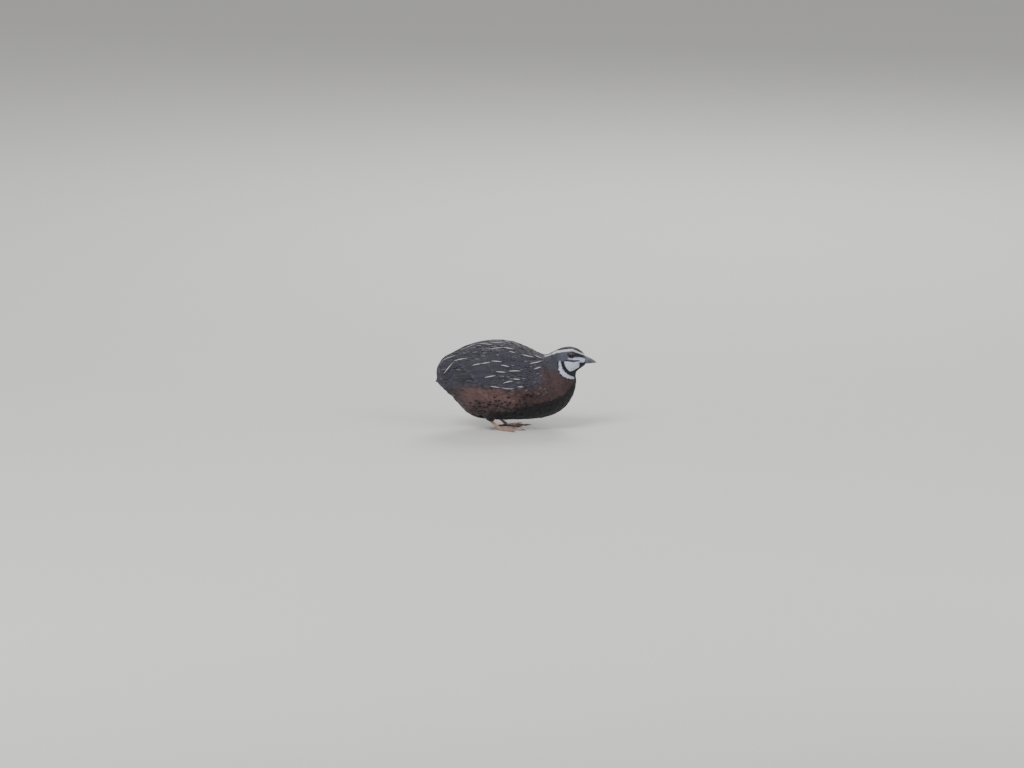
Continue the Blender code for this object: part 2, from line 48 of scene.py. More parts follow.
# what the coat is laid along: a line through the body from the tail's tip to the bill, (x, z)
bodyLine = (
    (-77.0, 43.5), (-70.0, 48.5), (-60.0, 51.5), (-40.0, 49.8), (-15.0, 48.0), (8.0, 46.5),
    (23.0, 47.0), (34.0, 51.0), (42.0, 57.0), (49.0, 63.0), (56.0, 66.6), (67.0, 65.6),
)
tailTip = np.array((-77.0, 0.0, 44.0))
eye = {
    "centre": (52.4, 7.0, 70.7), "radius": 3.3, "opening": (2.3, 2.0), "lidReach": 2.35,
    "oval": 1.15, "iris": 0.78, "filler": 3.95, "socket": 4.2,
}
sideTilt = math.radians(10)  # the height at which the side view is read

# feather sizes along the body line: distance from the tail's tip, then spacing, length,
# half width, lift of the tip and depth of the coat
coatTable = (
    (0.0, 2.0, 8.0, 2.1, 1.1, 1.2),
    (20.0, 2.2, 10.5, 2.5, 1.3, 1.5),
    (40.0, 2.3, 12.0, 2.8, 1.5, 1.6),
    (80.0, 2.3, 12.0, 2.8, 1.5, 1.6),
    (100.0, 1.95, 9.5, 2.35, 1.3, 1.5),
    (112.0, 1.45, 7.0, 1.7, 1.05, 1.3),
    (122.0, 0.95, 4.6, 1.05, 0.8, 1.0),
    (131.0, 0.62, 3.1, 0.62, 0.6, 0.8),
    (140.0, 0.5, 2.4, 0.48, 0.46, 0.6),
    (150.0, 0.43, 2.0, 0.4, 0.38, 0.5),
    (156.0, 0.4, 1.5, 0.34, 0.3, 0.45),
)

# sRGB colours, 0 to 255, of each part of the plumage
palette = {
    "crown": (50, 49, 56), "crownLine": (96, 95, 100), "brow": (200, 202, 212),
    "ear": (74, 77, 91), "lore": (33, 31, 37), "cheek": (184, 190, 208), "line": (27, 26, 32),
    "crescent": (191, 195, 214), "anchor": (20, 20, 25), "nape": (60, 60, 68),
    "back": (63, 61, 73), "backDark": (33, 32, 38), "streak": (186, 184, 182),
    "chestnut": (68, 51, 52), "flank": (101, 78, 76), "flankLow": (75, 60, 59),
    # bellyRearShaded: the rear belly's dark brown, with painted shade from beneath the body in it
    "black": (22, 21, 25), "bellyRearShaded": (47, 38, 40), "vent": (68, 57, 56),
    "undertail": (46, 40, 41),
    "wing": (55, 54, 65), "quill": (46, 44, 51), "buff": (112, 100, 90),
}

# pale shaft streaks that show from the side: (x, height in the side view), front to back
paleLines = (
    ((-13.5, 79.6), (-17.7, 80.3), (-22.9, 80.1)),
    ((-23.0, 78.0), (-30.0, 79.2), (-36.5, 79.0), (-43.8, 77.1), (-51.7, 72.9)),
    ((-2.5, 73.9), (-6.2, 74.9), (-12.4, 75.4), (-18.7, 75.1), (-26.5, 73.6)),
    ((-2.0, 70.5), (-7.2, 72.0)),
    ((15.8, 66.7), (11.6, 67.0), (4.3, 69.5)),
    ((23.1, 66.0), (20.2, 67.6), (16.3, 68.1)),
    ((23.1, 62.9), (16.8, 61.8), (11.6, 59.4)),
    ((22.0, 57.2), (15.8, 55.3)),
    ((-55.3, 68.8), (-59.4, 67.0), (-64.7, 65.0), (-70.5, 61.9)),
    ((-45.3, 65.5), (-51.0, 65.5), (-55.3, 63.9), (-60.5, 59.8), (-63.0, 55.0), (-67.8, 50.9)),
    ((-23.9, 61.8), (-30.2, 60.8), (-35.4, 60.0), (-41.2, 58.7)),
    ((-13.5, 62.1), (-17.7, 62.6), (-23.4, 62.9)),
    ((-6.7, 57.6), (-10.3, 58.7), (-15.0, 59.0)),
    ((-9.8, 52.4), (-13.5, 52.4), (-19.2, 53.2)),
    ((4.3, 53.5), (-2.0, 53.8), (-7.7, 53.2)),
    ((-18.8, 49.3), (-23.9, 48.6), (-29.7, 47.2)),
    ((-3.0, 44.1), (-8.3, 43.5), (-12.4, 41.5)),
    ((3.2, 45.7), (-3.0, 46.2)),
    ((-2.0, 36.8), (-10.3, 37.0), (-18.8, 38.4), (-24.4, 39.2)),
    ((6.4, 38.5), (1.1, 38.8)),
)


def linear(rgb):
    values = np.asarray(rgb, float) / 255
    return np.where(values <= 0.04045, values / 12.92, ((values + 0.055) / 1.055) ** 2.4)


def colour(name):
    return linear(palette[name])


def unit(vectors):
    return vectors / np.maximum(np.linalg.norm(vectors, axis=-1, keepdims=True), 1e-9)


def dots(a, b):
    return (a * b).sum(-1, keepdims=True)


def smooth(low, high, values):
    t = np.clip((values - low) / (high - low), 0, 1)
    return t * t * (3 - 2 * t)


def curvePoints(points, count):
    # a smooth curve through the points, cut into equal steps of its parameter
    points = np.asarray(points, float)
    at = np.linspace(0, len(points) - 1, count)
    k = np.minimum(at.astype(int), len(points) - 2)
    t = (at - k)[:, None]
    a, b = points[np.maximum(k - 1, 0)], points[k]
    c, d = points[k + 1], points[np.minimum(k + 2, len(points) - 1)]
    return b + (c - a) * 0.5 * t + (2 * a - 5 * b + 4 * c - d) * 0.5 * t**2 + (
        3 * b - a - 3 * c + d) * 0.5 * t**3


def addPiece(name, mesh, material, sharpAngle=None):
    # puts a finished mesh, with its material, in the scene and on the one body
    mesh.materials.append(material)
    mesh.shade_smooth()
    if sharpAngle:
        mesh.set_sharp_from_angle(angle=math.radians(sharpAngle))
    obj = bpy.data.objects.new(name, mesh)
    bpy.context.scene.collection.objects.link(obj)
    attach(obj, "root")
    return obj


def newObject(name, bm, material, sharpAngle=None):
    mesh = bpy.data.meshes.new(name)
    bmesh.ops.scale(bm, vec=(mm, mm, mm), verts=bm.verts)
    bm.to_mesh(mesh)
    bm.free()
    return addPiece(name, mesh, material, sharpAngle)




# the body line, sampled once for every lookup
lineXZ = curvePoints(bodyLine, 150)
linePoints = np.stack([lineXZ[:, 0], np.zeros(len(lineXZ)), lineXZ[:, 1]], 1)
lineSteps = np.gradient(linePoints, axis=0)
lineTangents = unit(lineSteps)
lineReach = np.concatenate([[0], np.cumsum(np.linalg.norm(np.diff(linePoints, axis=0), axis=1))])


def bodyPlace(points):
    # distance from the tail's tip, direction to the tail, and place on the body line
    flat = points * np.array((1, 0.6, 1))
    gaps = np.linalg.norm(flat[:, None, :] - linePoints[None], axis=2)
    shares = np.exp(-((gaps - gaps.min(1, keepdims=True)) / 5.0))
    shares /= shares.sum(1, keepdims=True)
    return shares @ lineReach, -unit(shares @ lineTangents), shares @ linePoints


def coatAt(reach):
    table = np.array(coatTable)
    return [np.interp(reach, table[:, 0], table[:, k]) for k in range(1, 6)]


def sideView(points):
    # where a point shows from its own side, tilted as the photo is: x and height
    tilt = sideTilt
    return np.stack(
        [points[:, 0], points[:, 2] * math.cos(tilt) - np.abs(points[:, 1]) * math.sin(tilt)], 1)


def lineGap(view, line):
    # distance from a line of points, and how far along it the nearest place is, 0 to 1
    line = np.asarray(line, float)
    best, where = np.full(len(view), 1e9), np.zeros(len(view))
    for k in range(len(line) - 1):
        a, b = line[k], line[k + 1]
        t = np.clip(((view - a) @ (b - a)) / ((b - a) @ (b - a)), 0, 1)
        gap = np.linalg.norm(view - (a + t[:, None] * (b - a)), axis=1)
        where = np.where(gap < best, (k + t) / (len(line) - 1), where)
        best = np.minimum(best, gap)
    return best, where


def insideOf(view, outline):
    # signed distance to a closed outline, below zero inside
    outline = np.asarray(outline, float)
    inside = np.zeros(len(view), bool)
    best = np.full(len(view), 1e9)
    for k in range(len(outline)):
        a, b = outline[k - 1], outline[k]
        crosses = (a[1] > view[:, 1]) != (b[1] > view[:, 1])
        rise = b[1] - a[1] if abs(b[1] - a[1]) > 1e-9 else 1e-9
        inside ^= crosses & (view[:, 0] < (b[0] - a[0]) * (view[:, 1] - a[1]) / rise + a[0])
        t = np.clip(((view - a) @ (b - a)) / ((b - a) @ (b - a)), 0, 1)
        best = np.minimum(best, np.linalg.norm(view - (a + t[:, None] * (b - a)), axis=1))
    return np.where(inside, -best, best)


# Skin

skin = {
    "nodes": ("torso", "neck", "head", "thigh_left", "thigh_right"),
    "under": ("tail", "wing_left", "wing_right"),  # only their mass is wanted beneath the feathers
    "grow": 0.25, "voxel": 0.9, "passes": 5, "bodyPasses": 9, "bodyEnd": 30.0,
    "backPasses": 16, "least": 0.35, "finer": 5.5, "mound": 0.15, "moundFall": 0.75,
}


def relax(bm, verts, passes):
    for _ in range(passes):
        bmesh.ops.smooth_vert(bm, verts=verts, factor=0.5, use_axis_x=True, use_axis_y=True,
                              use_axis_z=True)


def makeSkinShape():
    # the flesh nodes grown till they meet, remeshed as one body and drawn in by the coat's depth
    bm = bmesh.new()
    for name in skin["nodes"] + skin["under"]:
        part = bmesh.new()
        part.from_mesh(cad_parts[name].data)
        bmesh.ops.scale(part, vec=(1 / mm, 1 / mm, 1 / mm), verts=part.verts)
        bmesh.ops.remove_doubles(part, verts=part.verts, dist=0.002)
        part.normal_update()
        for vert in part.verts:
            vert.co += vert.normal * skin["grow"]
        copy = bpy.data.meshes.new("copy")
        part.to_mesh(copy)
        part.free()
        bm.from_mesh(copy)
        bpy.data.meshes.remove(copy)
    for side in (1, -1):
        filler = bmesh.ops.create_icosphere(bm, subdivisions=3, radius=eye["filler"])
        x, y, z = eye["centre"]
        bmesh.ops.translate(bm, vec=(x, y * side - 0.25 * side, z), verts=filler["verts"])
    mesh = bpy.data.meshes.new("skin_cage")
    bm.to_mesh(mesh)
    bm.free()
    cage = bpy.data.objects.new("skin_cage", mesh)
    bpy.context.scene.collection.objects.link(cage)
    remesh = cage.modifiers.new("one", "REMESH")
    remesh.mode = "VOXEL"
    remesh.voxel_size = skin["voxel"]
    graph = bpy.context.evaluated_depsgraph_get()
    whole = bpy.data.meshes.new_from_object(cage.evaluated_get(graph))
    bpy.data.objects.remove(cage)
    bm = bmesh.new()
    bm.from_mesh(whole)
    bpy.data.meshes.remove(whole)
    solidTree = BVHTree.FromBMesh(bm)
    relax(bm, bm.verts, skin["passes"])
    relax(bm, [v for v in bm.verts if v.co.x < skin["bodyEnd"] and v.co.z > 14], skin["bodyPasses"])
    relax(bm, [v for v in bm.verts if v.co.x < 10 and v.co.z > 56], skin["backPasses"])
    bm.normal_update()
    points = np.array([v.co for v in bm.verts])
    depth = coatAt(bodyPlace(points)[0])[4]
    for vert, inwards in zip(bm.verts, depth):
        vert.co -= vert.normal * (inwards + skin["grow"] * 0.5)
    relax(bm, bm.verts, 2)
    keepInside(bm, solidTree)
    relax(bm, bm.verts, 1)
    keepInside(bm, solidTree)
    for _ in range(2):
        near = [e for e in bm.edges if all(fromEye(v.co) < skin["finer"] for v in e.verts)]
        bmesh.ops.subdivide_edges(bm, edges=near, cuts=1, use_grid_fill=True)
    bmesh.ops.triangulate(bm, faces=[f for f in bm.faces if len(f.verts) > 4])
    relax(bm, [v for v in bm.verts if fromEye(v.co) < skin["finer"] + 1], 3)
    shapeSockets(bm)
    bm.normal_update()
    return bm


def keepInside(bm, solidTree):
    # where smoothing has filled a hollow, the skin goes back inside the solids
    for vert in bm.verts:
        place, normal, _, _ = solidTree.find_nearest(vert.co)
        past = (vert.co - place).dot(normal) + skin["grow"] + skin["least"]
        if past > 0 and fromEye(vert.co) > eye["socket"]:
            vert.co -= normal * past


def fromEye(point):
    # how far out from the middle of its side's eye a point shows, as an oval measure
    if abs(point[1]) < 4:
        return 99.0
    cx, _, cz = eye["centre"]
    return math.hypot((point[0] - cx) / eye["oval"], point[2] - cz)


def ballAt(dx, dz):
    return eye["centre"][1] + math.sqrt(max(eye["radius"] ** 2 - dx**2 - dz**2, 0.3))


def shapeSockets(bm):
    # the skin lies just under each eyeball as far out as the lids, and then over it
    cx, _, cz = eye["centre"]
    reach = eye["lidReach"]
    for vert in bm.verts:
        off = fromEye(vert.co)
        if off > eye["socket"]:
            continue
        dx, dz = vert.co.x - cx, vert.co.z - cz
        y = abs(vert.co.y)
        rim = ballAt(dx * reach / max(off, 0.1), dz * reach / max(off, 0.1))
        fade = float(smooth(eye["socket"], reach + 0.5, off))
        mound = rim + skin["mound"] - skin["moundFall"] * (off - reach)
        over = y + max(mound - y, 0) * fade
        share = float(smooth(reach + 0.1, reach - 0.15, off))
        sunk = min(y, ballAt(dx, dz) - 0.2)
        vert.co.y = math.copysign(over * (1 - share) + sunk * share, vert.co.y)


skinShape = makeSkinShape()
skinTree = BVHTree.FromBMesh(skinShape)
skinShape.verts.ensure_lookup_table()
skinShape.faces.ensure_lookup_table()
faceNormals = unit(np.array([
    sum((v.normal for v in face.verts), Vector()) for face in skinShape.faces]))
print("skin:", len(skinShape.faces), "faces")


def drape(points):
    # the nearest places on the skin, with its normals there
    places, normals = np.empty_like(points), np.empty_like(points)
    for i, point in enumerate(points):
        place, _, index, _ = skinTree.find_nearest(point)
        places[i], normals[i] = place, faceNormals[index]
    return places, normals


# Markings

headMarks = {  # lines and outlines in the side view, in millimetres
    "brow": ((19.5, 66.3), (25.0, 66.0), (29.2, 67.3), (33.5, 69.2), (36.9, 71.3), (40.3, 71.9),
             (44.7, 72.5), (49.7, 73.1), (52.3, 73.3), (54.9, 72.5), (58.3, 71.0), (63.5, 69.1)),
    "browWidth": (0.4, 0.5, 0.6, 0.8, 0.95, 1.0, 1.0, 1.05, 1.0, 0.8, 0.65, 0.55),
    "lore": ((49.5, 68.8), (53.0, 69.2), (57.5, 68.8), (62.0, 67.4)),
    "underEye": ((49.0, 65.3), (54.5, 65.2), (60.0, 65.4), (65.0, 64.3)),
    "underEyeWidth": (0.45, 0.6, 0.95, 1.0),
    "moustache": ((46.6, 63.3), (50.5, 63.0), (54.6, 62.8), (59.3, 63.2)),
    "moustacheWidth": (0.6, 0.9, 1.0, 0.6),
    "cheek": ((45.3, 62.2), (45.9, 58.8), (47.9, 55.5), (50.4, 53.2), (53.1, 53.7), (56.1, 55.4),
              (59.1, 57.1), (62.5, 60.5), (65.1, 63.1), (64.0, 64.9), (55.0, 64.8), (48.5, 63.9)),
    "anchor": ((43.9, 62.0), (44.6, 58.8), (46.2, 55.2), (48.9, 52.1), (52.3, 51.0), (56.3, 51.6),
               (59.8, 54.6), (63.5, 58.4), (66.4, 61.2)),
    "anchorWidth": (0.6, 0.75, 0.85, 0.9, 1.1, 1.4, 1.5, 1.4, 1.1),
    "crescent": ((40.9, 62.6), (41.2, 58.8), (41.7, 54.6), (43.8, 51.3), (47.2, 48.9),
                 (50.6, 47.6), (53.6, 47.0)),
    "crescentWidth": (0.6, 1.2, 1.8, 1.9, 1.7, 1.5, 1.1),
}


def markOf(view, line, widths, soft=0.35):
    gap, where = lineGap(view, headMarks[line])
    at = where * (len(headMarks[widths]) - 1) if isinstance(widths, str) else where
    width = np.interp(at, range(len(headMarks[widths])), headMarks[widths]) if isinstance(
        widths, str) else widths
    return smooth(soft, -soft, gap - width)


def mix(a, b, share):
    return a + (b - a) * share[:, None]


zones = {  # lower edges in the side view, as x and height
    "wing": ((-60, -45, -25, 0, 15, 40), (38, 40, 39.5, 37.5, 38.5, 45)),
    "black": ((-46, -30, -18, -4, 4, 13, 30, 44, 50, 56),
              (11, 14.5, 16.2, 17.5, 19.8, 22.6, 25.8, 31, 38, 46)),
}


def plumage(points):
    # the coat's colour at each point, and how much dark barring and pale fringe it has
    view = sideView(points)
    x, z = points[:, 0], points[:, 2]
    half = np.abs(points[:, 1])
    v = view[:, 1]
    full = np.ones(len(points))
    tone = colour("back") * full[:, None]
    # underparts, from the wing's lower edge down: rufous flanks, darker and blotched low down
    edge = np.interp(x, *zones["wing"])
    under = smooth(1.2, -1.2, v - edge)
    flank = mix(colour("flank"), colour("flankLow"), smooth(27.0, 18.0, v))
    flank = mix(flank, colour("chestnut"), smooth(-12, 14, x))
    tone = mix(tone, flank, under * smooth(-64, -52, x))
    tone = mix(tone, colour("vent"), under * smooth(-40, -54, x))
    tone = mix(tone, colour("undertail"), under * smooth(-52, -62, x))
    # the breast's chestnut sides run up to the nape's grey
    breast = smooth(19, 29, x) * smooth(60.5, 52, v)
    tone = mix(tone, colour("chestnut"), breast)
    tone = mix(tone, colour("nape"), smooth(24, 34, x) * smooth(51, 57, v))
    # black throat and breast, spreading back under the belly, then turning to the rear belly's dark
    # brown with painted shade from beneath the body in it
    low = np.interp(x, *zones["black"])
    belly = mix(colour("black") * full[:, None], colour("bellyRearShaded"), smooth(-10, -26, x))
    share = smooth(1.0, -1.0, v - low)
    tone = tone * (1 - share[:, None]) + belly * share[:, None]
    wide = 3.6 + 5.0 * smooth(53, 40, v)
    tone = mix(tone, colour("black"), smooth(1.2, -0.8, half - wide) * smooth(54, 51, v) * (x > 30))
    # head
    head = smooth(33, 37.5, x + 0.35 * (z - 70))
    grey = mix(colour("nape"), colour("ear"), smooth(36, 44, x))
    tone = mix(tone, grey, head * smooth(50, 56, v))
    browLine = np.interp(x, [p[0] for p in headMarks["brow"]], [p[1] for p in headMarks["brow"]])
    above = smooth(-0.2, 0.6, v - browLine) * smooth(27, 34, x)
    tone = mix(tone, colour("crown"), above)
    tone = mix(tone, colour("crownLine"), smooth(1.0, 0.4, half) * above * smooth(30, 40, x) * 0.6)
    tone = mix(tone, colour("lore"), markOf(view, "lore", 1.5, 0.6))
    gorget = headMarks["anchor"][:6] + headMarks["crescent"][::-1]
    tone = mix(tone, colour("anchor"), smooth(0.4, -0.2, insideOf(view, gorget)))
    bib = headMarks["cheek"][:9] + headMarks["anchor"][::-1]
    tone = mix(tone, colour("anchor"), smooth(0.6, 0.1, insideOf(view, bib)))
    ring = markOf(view, "crescent", "crescentWidth", 0.3)
    border = lineGap(view, headMarks["crescent"])[0]
    tone = mix(tone, colour("anchor"), smooth(2.7, 2.1, border) * (1 - ring) * smooth(63, 60, v))
    tone = mix(tone, colour("crescent"), ring)
    tone = mix(tone, colour("anchor"), markOf(view, "anchor", "anchorWidth", 0.3))
    tone = mix(tone, colour("cheek"), smooth(0.3, -0.3, insideOf(view, headMarks["cheek"])))
    tone = mix(tone, colour("cheek"), markOf(view, "underEye", "underEyeWidth", 0.3))
    tone = mix(tone, colour("line"), markOf(view, "moustache", "moustacheWidth", 0.25))
    shank = smooth(2.7, 1.9, half + 0.12 * np.maximum(x - 58, 0)) * smooth(53.5, 55.5, x)
    throat = smooth(61.0, 58.5, v) * smooth(44.0, 47.0, v)
    tone = mix(tone, colour("anchor"), shank * throat)
    chin = smooth(62.3, 61.2, v) * smooth(58.5, 60.0, x)
    tone = mix(tone, colour("anchor"), chin)
    apart = smooth(1.6, 3.0, half + 0.16 * np.maximum(x - 38, 0)) * smooth(25, 29, x)
    tone = mix(tone, colour("brow"), markOf(view, "brow", "browWidth", 0.3) * apart)
    bars = smooth(45, 52, v) * (1 - head) * smooth(34, 26, x) + 0.35 * under * smooth(-10, -30, x)
    fringe = 0.5 * smooth(40, 46, v) * (1 - head)
    return tone, bars, fringe


# Feathers

contour = {
    "rows": (0.0, 0.2, 0.38, 0.52, 0.62, 0.71, 0.79, 0.85, 0.9, 0.94, 0.97, 1.0),
    "widths": (0.3, 0.72, 0.93, 1.0, 1.0, 0.97, 0.9, 0.8, 0.67, 0.52, 0.36, 0.16),
    "columns": (-1.0, -0.5, 0.0, 0.5, 1.0), "under": (0.0,), "thick": 0.12, "dome": 0.2,
    "shaft": 0.04,
}
lance = {**contour, "widths": (0.35, 0.76, 0.96, 1.0, 0.96, 0.88, 0.77, 0.65, 0.52, 0.39, 0.27, 0.1)}
small = {
    "rows": (0.0, 0.3, 0.52, 0.66, 0.78, 0.88, 0.95, 1.0),
    "widths": (0.4, 0.86, 1.0, 0.98, 0.86, 0.66, 0.42, 0.12),
    "columns": (-1.0, 0.0, 1.0), "under": (0.0,), "thick": 0.09, "dome": 0.14, "shaft": 0.0,
}
tiny = {
    "rows": (0.0, 0.42, 0.72, 0.9, 1.0), "widths": (0.45, 0.95, 0.88, 0.56, 0.1),
    "columns": (-1.0, 0.0, 1.0), "under": (0.0,), "thick": 0.06, "dome": 0.09, "shaft": 0.0,
}
quill = {
    "rows": (0.0, 0.08, 0.18, 0.3, 0.42, 0.54, 0.65, 0.74, 0.82, 0.88, 0.93, 0.97, 1.0),
    "widths": (0.3, 0.55, 0.76, 0.9, 0.98, 1.0, 0.99, 0.96, 0.88, 0.75, 0.58, 0.38, 0.12),
    "columns": (-1.0, -0.6, -0.1, 0.0, 0.1, 0.6, 1.0), "under": (0.5, -0.5), "thick": 0.16,
    "dome": 0.28, "shaft": 0.1,
}
streakShape = {
    "rows": (0.0, 0.12, 0.3, 0.5, 0.7, 0.86, 1.0), "widths": (0.3, 0.8, 1.0, 1.0, 0.85, 0.55, 0.12),
    "columns": (-1.0, 0.0, 1.0), "under": (0.0,), "thick": 0.07, "dome": 0.04, "shaft": 0.0,
}
barb = {
    "rows": (0.0, 0.55, 1.0), "widths": (1.0, 0.7, 0.2), "columns": (-1.0, 1.0), "under": (0.0,),
    "thick": 0.07, "dome": 0.0, "shaft": 0.0,
}
# loose barbs at a feather's edge: row where each starts and row where it passes the edge
barbRows = {"contour": ((3, 5), (5, 7), (6, 9), (8, 10)), "small": ((2, 4), (4, 6))}
coat = {}  # piece name: list of vane arrays


def wingZone(points):
    # how deep inside the folded wing's area a point lies: degrees from its edges, 0 outside
    t = (33.0 - points[:, 0]) / 92.0
    angle = np.degrees(np.arctan2(points[:, 2] - 49.0, np.abs(points[:, 1])))
    low = -24 + 18 * np.sin(np.pi * np.clip(t * 1.7, 0, 1) * 0.5)
    high = 26 + 34 * np.sin(np.pi * np.clip(t * 1.4, 0, 1) * 0.5)
    depth = np.minimum(angle - low, high - angle)
    return np.where((t > 0) & (t < 1), np.maximum(depth, 0), 0), t, angle


def legShare(points):
    # how far a point belongs to a thigh, 0 to 1
    share = smooth(14.0, 11.0, points[:, 2]) * (np.abs(points[:, 1]) > 8)
    return share * smooth(-32, -27, points[:, 0]) * smooth(-8, -13, points[:, 0])


def lieAt(points, normals):
    # the way the coat lies: towards the tail, out from the bill and eyes, and down the thighs
    _, way, _ = bodyPlace(points)
    home = unit(tailTip - points)
    turn = smooth(-34, -62, points[:, 0])[:, None]
    way = way * (1 - turn) + home * turn
    centre = np.array(eye["centre"]) * np.where(points[:, 1:2] < 0, np.array((1, -1, 1)), 1)
    off = (points - centre) * (1, 0, 1)
    near = np.exp(-((np.linalg.norm(off, axis=1) / 4.2) ** 2)) * (points[:, 0] > 44)
    near = near * (1 - 0.85 * smooth(-0.2, 0.7, unit(off)[:, 0]))
    way = way + unit(off) * (near * 1.5)[:, None]
    billWay = unit((points - np.array((67.0, 0, 65.2))) * np.array((0.15, 1, 1)))
    way = way + billWay * (smooth(61.5, 65.5, points[:, 0]) * 1.4)[:, None]
    share = legShare(points)[:, None]
    way = way * (1 - share) + np.array((0.3, 0, -1.0)) * share
    return unit(way - normals * dots(way, normals))


def scatterRoots():
    # roots all over the skin, spaced by the coat's table, none nearer than its spacing
    corners = np.array([[v.co[:] for v in f.verts[:3]] for f in skinShape.faces])
    sizes = np.array([f.calc_area() for f in skinShape.faces])
    middles = np.array([f.calc_center_median()[:] for f in skinShape.faces])
    spacing = coatAt(bodyPlace(middles)[0])[0]
    wants = sizes / spacing**2 * 6.0
    whole = np.floor(wants + chance.random(len(wants))).astype(int)
    index = np.repeat(np.arange(len(wants)), whole)
    a, b = chance.random((2, len(index), 1))
    fold = a + b > 1
    a, b = np.where(fold, 1 - a, a), np.where(fold, 1 - b, b)
    c = corners[index]
    points = c[:, 0] * (1 - a - b) + c[:, 1] * a + c[:, 2] * b
    spread = spacing[index] * 0.86
    tree = KDTree(len(points))
    for i, point in enumerate(points):
        tree.insert(point, i)
    tree.balance()
    free = np.ones(len(points), bool)
    kept = []
    for i in chance.permutation(len(points)):
        if not free[i]:
            continue
        kept.append(i)
        for _, j, _ in tree.find_range(points[i], spread[i]):
            free[j] = False
    return points[kept]


def layVanes(roots, ways, lengths, halfWidths, lifts, shape, ragged=0.1, base=-0.25, roll=0.1):
    # vanes that follow the skin from their roots, as their middle lines and both frayed edges
    rows, widths = shape["rows"], shape["widths"]
    count = len(roots)
    places, normals = drape(roots)
    ways = unit(ways - normals * dots(ways, normals))
    middle = np.empty((count, len(rows), 3))
    left, right, outs = np.empty_like(middle), np.empty_like(middle), np.empty_like(middle)
    lean = chance.normal(0, roll, count)
    at = 0.0
    for r, (t, share) in enumerate(zip(rows, widths)):
        if t > at:
            places, normals = drape(places + ways * (lengths * (t - at))[:, None])
            ways = unit(ways - normals * dots(ways, normals))
            at = t
        sides = np.cross(normals, ways)
        rise = base + (lifts - base) * math.sin(t * math.pi / 2)
        middle[:, r] = places + normals * rise[:, None]
        outs[:, r] = normals
        for edge, sign in ((left, 1), (right, -1)):
            notch = (r + (sign > 0)) % 2 and t > 0.45
            fray = ragged * (0.4 + 0.6 * chance.random(count)) if notch else 0.03
            reach = halfWidths * share * (1 - fray)
            spot, spotNormals = drape(places + sides * (sign * reach)[:, None])
            edge[:, r] = spot + spotNormals * (rise + sign * lean * reach)[:, None]
            if t > 0.45:
                edge[:, r] += ways * (lengths * (0.006 - 0.018 * bool(notch)))[:, None]
    return middle, left, right, outs


def buildVanes(piece, shape, laid, lengths, halfWidths, tint, mark, marks, bars, fringe, seeds):
    # closed vanes between their edge lines, kept as arrays until the piece is made
    middle, left, right, outs = laid
    count, rows = middle.shape[:2]
    top, under = np.array(shape["columns"]), np.array(shape["under"])
    ring = len(top) + len(under)
    points = np.empty((count, rows, ring, 3))
    half = (right - left) / 2
    bend = (right + left) / 2 - middle
    for k, a in enumerate(list(top) + list(under)):
        low = k >= len(top)
        rise = shape["dome"] * (1 - a * a) * 0.6 - (shape["thick"] * (1 - a * a) if low else 0)
        if a == 0 and not low:
            rise += shape["shaft"]
        points[:, :, k] = middle + half * a + bend * a * a + outs * rise
    share = np.empty((count, rows, ring, 3))
    share[..., 0] = np.concatenate([top, under])
    share[..., 1] = np.array(shape["rows"])[:, None]
    share[..., 2] = marks[:, None, None]
    size = np.empty((count, rows, ring, 3))
    size[..., 0] = share[..., 0] * (halfWidths[:, None] * np.array(shape["widths"]))[:, :, None]
    size[..., 1] = share[..., 1] * lengths[:, None, None]
    size[..., 2] = seeds[:, None, None]
    paint = np.empty((count, rows, ring, 4))
    paint[..., :3] = tint[:, :, None, :] if tint.ndim == 3 else tint[:, None, None, :]
    paint[..., 3] = bars[:, None, None]
    stain = np.empty((count, rows, ring, 4))
    stain[..., :3] = mark[:, None, None, :]
    stain[..., 3] = fringe[:, None, None]
    coat.setdefault(piece, []).append((shape, points, share, size, paint, stain))


def vaneFaces(rows, ring):
    faces = []
    for r in range(rows - 1):
        for k in range(ring):
            a, b = r * ring + k, r * ring + (k + 1) % ring
            faces.append((a, a + ring, b + ring, b))
    faces.append(tuple(range(ring)))
    faces.append(tuple(range(rows * ring - 1, (rows - 1) * ring - 1, -1)))
    return faces


def bakePatches(name):
    # a small patch for each vane at its root's place on the skin unrolled round the body line
    roots = np.concatenate([part[1][:, 0, 0] for part in coat[name]])
    reach, _, centre = bodyPlace(roots)
    off = roots - centre
    flat = np.stack([reach, np.arctan2(off[:, 1], off[:, 2])], 1)
    low, high = flat.min(0), flat.max(0)
    flat = 0.01 + 0.98 * (flat - low) / (high - low)
    patch, start, uvs = 0.003, 0, []
    for _, _, share, _, _, _ in coat[name]:
        count = len(share)
        at = flat[start:start + count, None]
        inner = share.reshape(count, -1, 3)[..., (1, 0)] * (1, 0.5) - (0.5, 0)
        uvs.append((at + inner * patch).reshape(-1, 2))
        start += count
    return np.concatenate(uvs)


